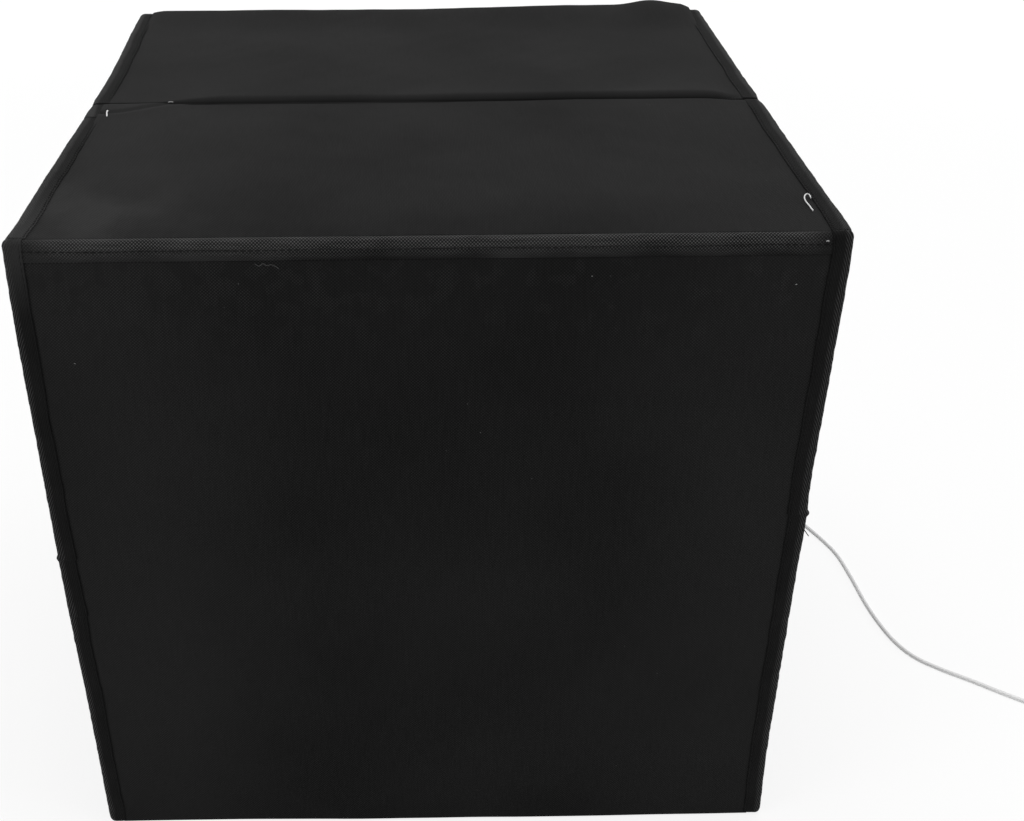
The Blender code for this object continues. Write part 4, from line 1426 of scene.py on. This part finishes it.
def swept_box(name, low, high, axis, radius, finish, wobble=0.0, seed=1, rows=60):
    """A rounded bar that fills a box along one axis, with softened ends."""
    low, high = np.array(low), np.array(high)
    others = [k for k in range(3) if k != axis]
    middle, half = (low + high) / 2, (high - low) / 2
    section = rounded_box_section(half[others[0]], half[others[1]], radius)
    start, end = low[axis], high[axis]
    inside = np.linspace(start + radius, end - radius, rows)
    near = [start + radius * share for share in (0.0, 0.1, 0.4)]
    far = [end - radius * share for share in (0.4, 0.1, 0.0)]
    grid = []
    for v in np.concatenate([near, inside, far]):
        gap = min(v - start, end - v)
        tuck = radius - math.sqrt(max(radius**2 - max(radius - gap, 0) ** 2, 0.0))
        wave = 1 + wobble * float(ripple(np.array(v), np.array(0.0), BAR_WAVE, seed))
        points = np.zeros((len(section), 3))
        points[:, axis] = v
        points[:, others] = middle[others] + section * (1 - tuck / half[others]) * wave
        grid.append(points)
    piece = grid_piece(name, grid, finish, closed=True, capped=True)
    face_outward(piece, middle)
    return piece


for side, word in SIDES:
    rail = swept_box(
        f"rail_cloth_{word}", *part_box(f"top_rail_{word}"), 1, RAIL_ROUND, skin_finish, 0.02, 40 + side
    )
    dress(rail, "top_rear", [f"top_rail_{word}"])
    for body, node in ((f"{word}_lower", f"{word}_loop_strip"), ("back", f"{word}_hook_strip")):
        strip = swept_box(f"{node}_pile", *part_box(node), 2, STRIP_ROUND, pile_finish, 0.03, 50 + side)
        dress(strip, body, [node])
print("rails and grip strips ready")

# %% [markdown]
# The solids that have their real shape already keep it and only take a finish: boards, light
# bars, dimmer box and plug. They could be modelled again, but nothing would be gained. Their
# material slots are filled by name.

# %% Finish the carried-over solids
CAD_FINISHES = {
    "_board": board_finish,
    "_housing": metal_finish,
    "_lens": lens_finish,
    "_strip": circuit_finish,
    "dimmer_floor": plastic_finish,
    "dimmer_cover": plastic_finish,
    "dimmer_wheel": plastic_finish,
    "dimmer_circuit": circuit_finish,
    "plug_body": jacket_finish,
    "plug_shell": plug_metal_finish,
    "plug_tongue": plastic_finish,
}
kept = 0
for name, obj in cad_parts.items():
    fitting = [finish for ending, finish in CAD_FINISHES.items() if name.endswith(ending)]
    if fitting and not obj.hide_render:
        obj.data.materials.clear()
        obj.data.materials.append(fitting[0])
        smooth_shade(obj, 35)
        kept += 1
print("solids kept:", kept)

# %% [markdown]
# Small parts that finish the light bars and the dimmer: moulded caps on the ends of each bar, and
# a rising row of plain ticks beside the wheel, which shows the way to turn it. The ticks could be
# drawn by the shader, but thin raised bars stay sharp from any distance.

# %% Bar end caps and dimmer ticks
CAP_LAP = 0.3 * MM
CAP_LONG = 2.2 * MM
CAP_UNDER = 0.2 * MM
CAP_OVER = 0.1 * MM
CAP_ROUND = 0.8 * MM
TICKS = 6
TICK_FROM = 17.5 * MM
TICK_PITCH = 1.9 * MM
TICK_WIDE = 0.7 * MM
TICK_MARGIN = 1.5 * MM
TICK_SHORT = 0.8 * MM
TICK_GROW = 0.55 * MM
TICK_SUNK = 0.05 * MM
TICK_HIGH = 0.08 * MM
TICK_ROUND = 0.06 * MM

for bar, body in (("front_light", "top_front"), ("rear_light", "top_rear")):
    low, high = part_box(f"{bar}_housing")
    for side, word in SIDES:
        x = low.x if side < 0 else high.x
        ends = sorted((x - side * CAP_LAP, x + side * CAP_LONG))
        cap_low = (ends[0], low.y - CAP_LAP, low.z - CAP_UNDER)
        cap_high = (ends[1], high.y + CAP_LAP, high.z + CAP_OVER)
        cap = swept_box(f"{bar}_cap_{word}", cap_low, cap_high, 0, CAP_ROUND, plastic_finish, rows=4)
        dress(cap, body)
low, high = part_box("dimmer_cover")
tick_end = high.y - TICK_MARGIN
for k in range(TICKS):
    x = low.x + TICK_FROM + k * TICK_PITCH
    tick_low = (x, tick_end - TICK_SHORT - TICK_GROW * k, high.z - TICK_SUNK)
    tick_high = (x + TICK_WIDE, tick_end, high.z + TICK_HIGH)
    tick = swept_box(f"dimmer_tick_{k + 1}", tick_low, tick_high, 1, TICK_ROUND, circuit_finish, rows=4)
    dress(tick, "base")
print("caps and ticks ready")

# %% [markdown]
# Threads and the lead are round tubes along smooth lines. They could be grids like the tape, but
# a curve with a round bevel is Blender's own way to make a tube. smooth_line draws a curve
# through a few points, as a bent wire would run, and tube_curve puts the round section on it.

# %% Smooth lines and tubes


def smooth_line(points, step):
    """Points a step apart on a smooth curve through the given points."""
    p = np.array(points, float)
    q = np.vstack([2 * p[0] - p[1], p, 2 * p[-1] - p[-2]])
    fine = []
    for i in range(1, len(q) - 2):
        for t in np.linspace(0, 1, 20, endpoint=False):
            b = q[i + 1] - q[i - 1]
            c = 2 * q[i - 1] - 5 * q[i] + 4 * q[i + 1] - q[i + 2]
            d = -q[i - 1] + 3 * q[i] - 3 * q[i + 1] + q[i + 2]
            fine.append(0.5 * (2 * q[i] + b * t + c * t**2 + d * t**3))
    fine = np.array(fine + [p[-1]])
    at = distance_along(fine)
    even = np.linspace(0, at[-1], math.ceil(at[-1] / step) + 1)
    return np.stack([np.interp(even, at, fine[:, k]) for k in range(3)], axis=1)


def half_wave(share):
    """From 0 to 1, slow at both ends."""
    return 0.5 - 0.5 * math.cos(math.pi * share)


def tube_curve(name, line, radius, finish, sides=4):
    """A round tube along a line of points."""
    curve = bpy.data.curves.new(name, "CURVE")
    curve.dimensions = "3D"
    curve.bevel_depth = radius
    curve.bevel_resolution = sides
    curve.use_fill_caps = True
    spline = curve.splines.new("POLY")
    spline.points.add(len(line) - 1)
    for point, place in zip(spline.points, line):
        point.co = (*place, 1.0)
    curve.materials.append(finish)
    obj = bpy.data.objects.new(name, curve)
    bpy.context.scene.collection.objects.link(obj)
    return obj


print("a quarter of the way up a half wave:", round(half_wave(0.25), 3))

# %% [markdown]
# The spare lead is wound in a small flat coil of two layers: in along the floor, up one layer at
# the middle, and out again on top, with a short tail to the plug. A spiral from Blender's menu
# can't change layers half way. So each point's angle, radius and height are worked out, and the
# radius shrinks and grows by one pitch a turn.

# %% Coil of spare lead
LEAD_D = 3.0 * MM
LEAD_R = LEAD_D / 2
COIL_ENTRY = (440.0 * MM, -131.0 * MM)
COIL_HEADING = math.radians(-29.5)
COIL_MEAN_R = 18.0 * MM
COIL_PITCH = 3.5 * MM
COIL_LIFT = 0.9 * MM
COIL_TURNS = 4.4375
COIL_OUTER = COIL_MEAN_R + COIL_TURNS * COIL_PITCH / 2
COIL_X = COIL_ENTRY[0] + COIL_OUTER * math.cos(COIL_HEADING + math.pi / 2)
COIL_Y = COIL_ENTRY[1] + COIL_OUTER * math.sin(COIL_HEADING + math.pi / 2)
CLIMB_TURNS = 0.5
TAIL = 28.0 * MM
TAIL_STEPS = 6
TAIL_FALL = 0.8
PLUG_AXIS_Z = 3.7 * MM


def coil_line(per_loop):
    """The coil: in along the floor, up one layer at the middle, and out again on top."""
    reversal = COIL_TURNS + CLIMB_TURNS / 2
    total = 2 * COIL_TURNS + CLIMB_TURNS
    points = []
    for k in range(round(total * per_loop) + 1):
        turns = k / per_loop
        radius = COIL_OUTER + COIL_PITCH * (max(0.0, turns - reversal) - min(turns, reversal))
        climb = min(max(turns - COIL_TURNS, 0.0) / CLIMB_TURNS, 1.0)
        angle = COIL_HEADING - math.pi / 2 + 2 * math.pi * turns
        z = LEAD_R + COIL_LIFT + COIL_PITCH * half_wave(climb)
        points.append((COIL_X + radius * math.cos(angle), COIL_Y + radius * math.sin(angle), z))
    leave = COIL_HEADING + 2 * math.pi * total
    last = np.array(points[-1])
    for share in (k / TAIL_STEPS for k in range(1, TAIL_STEPS + 1)):
        point = last + np.array([math.cos(leave), math.sin(leave), 0.0]) * TAIL * share
        point[2] = last[2] + (PLUG_AXIS_Z - last[2]) * half_wave(min(share / TAIL_FALL, 1.0))
        points.append(tuple(point))
    return np.array(points)


print(f"coil {2 * (COIL_OUTER + LEAD_R) / MM:.0f} mm wide")

# %% [markdown]
# The lead is 3 mm thick and 1.5 m long. It leaves the dimmer box at the front right corner, comes
# into view from behind the cube, crosses the floor and leaves the picture on the right. The coil
# lies just outside the view. A simulation could drop it on the floor, but the way it lies is
# known. The route's points are the solids' own, and one smooth tube follows them all.

# %% Lead
EXIT = (212.3 * MM, 188.5 * MM, 10.6 * MM)
DROP = ((219.0, 188.5, 10.3), (229.0, 187.3, 8.0), (241.0, 183.0, 4.2), (253.0, 175.5, 1.9))
FLOOR_RUN = (
    (266.0, 163.5), (281.0, 145.0), (294.0, 121.0), (304.7, 95.5), (313.0, 76.5),
    (319.3, 57.0), (322.5, 29.0), (324.8, -3.0), (328.6, -27.7), (334.2, -47.5),
    (343.0, -63.0), (357.0, -75.5), (374.0, -87.4), (390.0, -99.4), (405.0, -110.0),
)
RISE = (422.0, -120.6, 1.7)

heading = np.array([math.cos(COIL_HEADING), math.sin(COIL_HEADING), 0.0])
entry = np.array([*COIL_ENTRY, LEAD_R + COIL_LIFT])
route = [EXIT] + [(x * MM, y * MM, z * MM) for x, y, z in DROP]
route += [(x * MM, y * MM, LEAD_R) for x, y in FLOOR_RUN] + [tuple(value * MM for value in RISE)]
route += [tuple(entry - heading * (2 * LEAD_D)), tuple(entry - heading * LEAD_D)]
whole = np.vstack([smooth_line(route, 4 * MM), coil_line(36)])
lead = tube_curve("power_lead", whole, LEAD_R, jacket_finish)
lead_long = float(distance_along(whole)[-1])
dress(lead, "base", ["lead_floor_run", "lead_coil"])
print(f"lead {lead_long:.3f} m")

# %% [markdown]
# Where the lead leaves the dimmer box, a tapered rubber sleeve keeps it from bending sharply.
# Real ones have ribs, so that they stay supple. A Screw modifier could turn it from a profile.
# Here each ring of points takes its radius from the taper, less a wave for the ribs, and both
# ends are rounded, which needs only the grid that the rest uses.

# %% Strain relief
RELIEF_SIDES = 32
RELIEF_ROWS = 65
RELIEF_RIBS = 5
RELIEF_WALL = 0.55 * MM
RIB_CUT = 0.35 * MM
RELIEF_EDGE = 0.5 * MM


def ribbed_relief():
    """A tapered rubber sleeve on the x axis, with rounded ribs that let it bend."""
    low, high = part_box("lead_strain_relief")
    middle_y, middle_z = (low.y + high.y) / 2, (low.z + high.z) / 2
    wide = (high.z - low.z) / 2
    around = np.linspace(0, 2 * math.pi, RELIEF_SIDES, endpoint=False)
    rows = []
    for share in np.linspace(0, 1, RELIEF_ROWS):
        radius = wide + (LEAD_R + RELIEF_WALL - wide) * share
        radius -= RIB_CUT * half_wave(2 * RELIEF_RIBS * share)
        radius -= RELIEF_EDGE * (1 - math.sqrt(1 - (2 * share - 1) ** 16))
        x = low.x + (high.x - low.x) * share
        rows.append([(x, middle_y + radius * math.cos(a), middle_z + radius * math.sin(a)) for a in around])
    piece = grid_piece("ribbed_strain_relief", rows, jacket_finish, closed=True, capped=True)
    face_outward(piece, ((low.x + high.x) / 2, middle_y, middle_z))
    return dress(piece, "base", ["lead_strain_relief"])


relief = ribbed_relief()
print("strain relief with", RELIEF_RIBS, "ribs")

# %% [markdown]
# The tie round the coil is a short hook-and-loop strap. A torus would be too round, because a
# strap pulled tight lies flat on the coil. So it is a closed rounded rectangle round the bundle,
# as wide as the strap, and a modifier gives it its thickness.

# %% Coil tie
TIE_WIDE = 6 * MM
TIE_THICK = 0.5 * MM
TIE_CLEAR = 0.8 * MM
TIE_ROUND = 2.0 * MM


def tie_strap():
    """A loop of strap round one side of the coil."""
    low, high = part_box("coil_tie")
    angle = COIL_HEADING + math.pi
    radial = np.array([math.cos(angle), math.sin(angle), 0.0])
    tangent = np.array([-math.sin(angle), math.cos(angle), 0.0])
    middle = np.array([COIL_X, COIL_Y, (low.z + high.z) / 2]) + radial * COIL_MEAN_R
    half_wide = COIL_TURNS * COIL_PITCH / 2 + LEAD_R + COIL_PITCH / 2 + TIE_CLEAR
    half_tall = (high.z - low.z) / 2 - 0.3 * MM
    loop = rounded_box_section(half_wide, half_tall, TIE_ROUND, 7)
    offsets = np.linspace(-TIE_WIDE / 2, TIE_WIDE / 2, 7)
    rows = []
    for a, b in np.vstack([loop, loop[:1]]):
        rows.append([middle + radial * a + np.array([0, 0, b]) + tangent * offset for offset in offsets])
    strap = grid_piece("coil_strap", rows, pile_finish)
    face_outward(strap, middle)
    thicken(strap, TIE_THICK, 0.0)
    return dress(strap, "base", ["coil_tie"])


strap = tie_strap()

# %% [markdown]
# A few loose white threads are caught in the tape: a small loop near the rear right of the top,
# and a short end beside the left end of the crease. Some lint sits on the cloth. All of it could
# be drawn by the shader, but real threads stand off the cloth and throw small shadows, so they
# are thin bent tubes.

# %% Loose threads


def loose_thread(name, body, finish, radius, points):
    """A thin bent tube through points in millimetres."""
    line = smooth_line([(x * MM, y * MM, z * MM) for x, y, z in points], 0.5 * MM)
    dress(tube_curve(name, line, radius * MM, finish, 2), body)


THREADS = {
    "loose_thread_hook": (
        "top_rear", white_thread, 0.33,
        (190.3, -158.8, 391.3), (190.4, -156.0, 391.6), (189.6, -154.6, 391.8), (188.1, -156.0, 391.8),
        (186.9, -159.4, 391.7), (186.6, -163.1, 391.5), (187.1, -168.0, 391.3), (187.8, -173.4, 390.7),
    ),
    "loose_thread_end": (
        "top_rear", white_thread, 0.42,
        (-187.0, -14.4, 390.5), (-186.8, -16.4, 391.3), (-186.5, -19.5, 391.5), (-186.0, -22.5, 391.2),
        (-185.4, -25.5, 390.5),
    ),
    "thread_end_right": (
        "back", black_thread, 0.25,
        (199.6, -199.5, 217.6), (200.6, -200.2, 216.4), (201.9, -200.4, 214.6), (203.2, -200.6, 212.8),
    ),
    "lint_thread": (
        "back", lint_thread, 0.17,
        (-83.8, -200.4, 377.9), (-81.8, -200.9, 376.9), (-79.8, -200.9, 378.2), (-78.2, -200.8, 377.1),
        (-76.1, -200.9, 377.6), (-73.9, -200.9, 376.6), (-72.6, -200.5, 375.2),
    ),
}
SPECKS = (
    ("crease_speck", (-152.8, 1.6, 390.2), 1.5, "top_front", 0.3),
    ("knuckle_speck", (188.2, -201.6, 387.0), 0.6, "back", 0.3),
    ("face_speck_right", (176.4, -200.9, 364.1), 0.4, "back", 0.14),
    ("face_speck_left", (-176.3, -200.9, 325.1), 0.3, "back", 0.1),
    ("face_speck_middle", (77.2, -200.9, 369.6), 0.3, "back", 0.12),
)
for name, (body, finish, radius, *points) in THREADS.items():
    loose_thread(name, body, finish, radius, points)
for name, (x, y, z), reach, body, radius in SPECKS:
    ends = [(x + way * reach, y, z - 0.1) for way in (-1, 1)]
    middle = [(x - reach / 3, y - 0.1, z + 0.25), (x + reach / 2, y, z + 0.2)]
    loose_thread(name, body, speck_thread, radius, [ends[0], *middle, ends[1]])
print("loose threads ready")

# %% [markdown]
# The floor is a wide pale sheet. A plain white one would come out grey in places, and a glowing
# one would swallow the shadow, so it is a mix of both. Part of what the camera sees, straight or
# mirrored, is a plain glow, and the rest is the lit surface, which keeps the shadow. The light
# that the floor sends onto the cube comes from the lit surface alone.

# %% Floor and backdrop
FLOOR_SIZE = 12.0
FLOOR_SUNK = 0.02 * MM
FLOOR_TONES = (0.88, 0.92)
FLOOR_GLOW = 0.8
FLOOR_STRENGTH = 1.03
GLOW_RANGE = (0.7, 2.2)
WHITE_SEEN = 0.985


def seen_rays(tree):
    """1 for the rays that show something: straight to the camera, through glass or mirrored."""
    rays = add_node(tree, "ShaderNodeLightPath").outputs
    seen = maths(tree, "MAXIMUM", rays["Is Camera Ray"], rays["Is Transmission Ray"])
    return maths(tree, "MAXIMUM", seen, rays["Is Glossy Ray"])


def floor_material():
    """Lit white, mixed with a plain glow for the rays that the camera sees."""
    material, tree, shader, _, coordinates = start_material("white_floor", 0.9, Specular_IOR_Level=0.1)
    fine = add_node(tree, "ShaderNodeTexNoise", {"Scale": 6.0, "Detail": 3.0}).outputs[0]
    tones = (grey(tone) for tone in FLOOR_TONES)
    tree.links.new(mix_colour(tree, fine, *tones), shader.inputs["Base Color"])
    glow = add_node(tree, "ShaderNodeEmission", {"Strength": FLOOR_STRENGTH})
    away = add_node(tree, "ShaderNodeVectorMath", {0: coordinates}, operation="LENGTH").outputs["Value"]
    ends = {"Value": away, "From Min": GLOW_RANGE[0], "From Max": GLOW_RANGE[1], "To Min": FLOOR_GLOW}
    glow_share = add_node(tree, "ShaderNodeMapRange", ends, interpolation_type="SMOOTHSTEP").outputs[0]
    share = product(tree, seen_rays(tree), glow_share)
    mixed = add_node(tree, "ShaderNodeMixShader", {0: share, 1: shader.outputs[0], 2: glow.outputs[0]})
    tree.links.new(mixed.outputs[0], tree.nodes["Material Output"].inputs["Surface"])
    return material


def floor_sheet():
    """A flat sheet just under the cube."""
    line = np.linspace(-FLOOR_SIZE, FLOOR_SIZE, 25)
    x, y = np.meshgrid(line, line)
    points = np.stack([x, y, np.full_like(x, -FLOOR_SUNK)], axis=-1)
    floor = grid_piece("studio_floor", points, floor_material())
    face_outward(floor, (0, 0, -1))
    return floor


floor_sheet()
print("floor ready")

# %% [markdown]
# The light is plain: a broad soft lamp above and beyond the cube, a weak one at each side of the
# camera, and an even pale world. A single lamp would leave the back panel without any shape. The
# top catches most of the light and the back panel least, so the two read as different tones of
# the same black.

# %% Lights and world
WORLD_LIGHT = 0.48
LAMPS = (
    ("sky_panel", (0.1, 0.35, 2.3), (0, 0.1, 0.2), 2.0, 27.0),
    ("left_fill", (-2.2, -1.3, 0.9), (0, -0.2, 0.2), 1.4, 15.0),
    ("right_fill", (2.3, -1.2, 1.0), (0, -0.2, 0.2), 1.4, 14.0),
)
for name, place, target, size, power in LAMPS:
    data = bpy.data.lights.new(name, "AREA")
    data.shape = "DISK"
    data.size = size
    data.energy = power
    lamp = bpy.data.objects.new(name, data)
    lamp.location = place
    lamp.rotation_euler = (Vector(target) - Vector(place)).to_track_quat("-Z", "Y").to_euler()
    bpy.context.scene.collection.objects.link(lamp)

world = bpy.data.worlds.new("pale_world")
world.use_nodes = True
bpy.context.scene.world = world
sky = world.node_tree
background = sky.nodes["Background"]
background.inputs["Color"].default_value = (1, 1, 1, 1)
strength = span(sky, seen_rays(sky), 0.0, 1.0, WORLD_LIGHT, WHITE_SEEN)
sky.links.new(strength, background.inputs["Strength"])
bpy.context.scene.view_settings.view_transform = "Standard"
print("lamps:", len(LAMPS))

# %% [markdown]
# The room behind the camera is darker than the rest and takes some light from the middle of the
# back panel, which is why its edges look a little paler. Weaker lamps would darken the edges and
# the top as well. So a dark card stands there, which only shades the soft light from all round
# and is never seen or mirrored.

# %% Dark card behind the camera
CARD_AT = -1.05
CARD_CURVE = 0.05
card_points = [
    [(x, CARD_AT - CARD_CURVE * math.cos(3 * x), z) for x in np.linspace(-0.24, 0.26, 9)]
    for z in np.linspace(0.12, 1.5, 9)
]
card = grid_piece("dark_card", card_points, board_finish)
card.visible_camera = False
card.visible_glossy = False
card.visible_transmission = False
print("card ready")
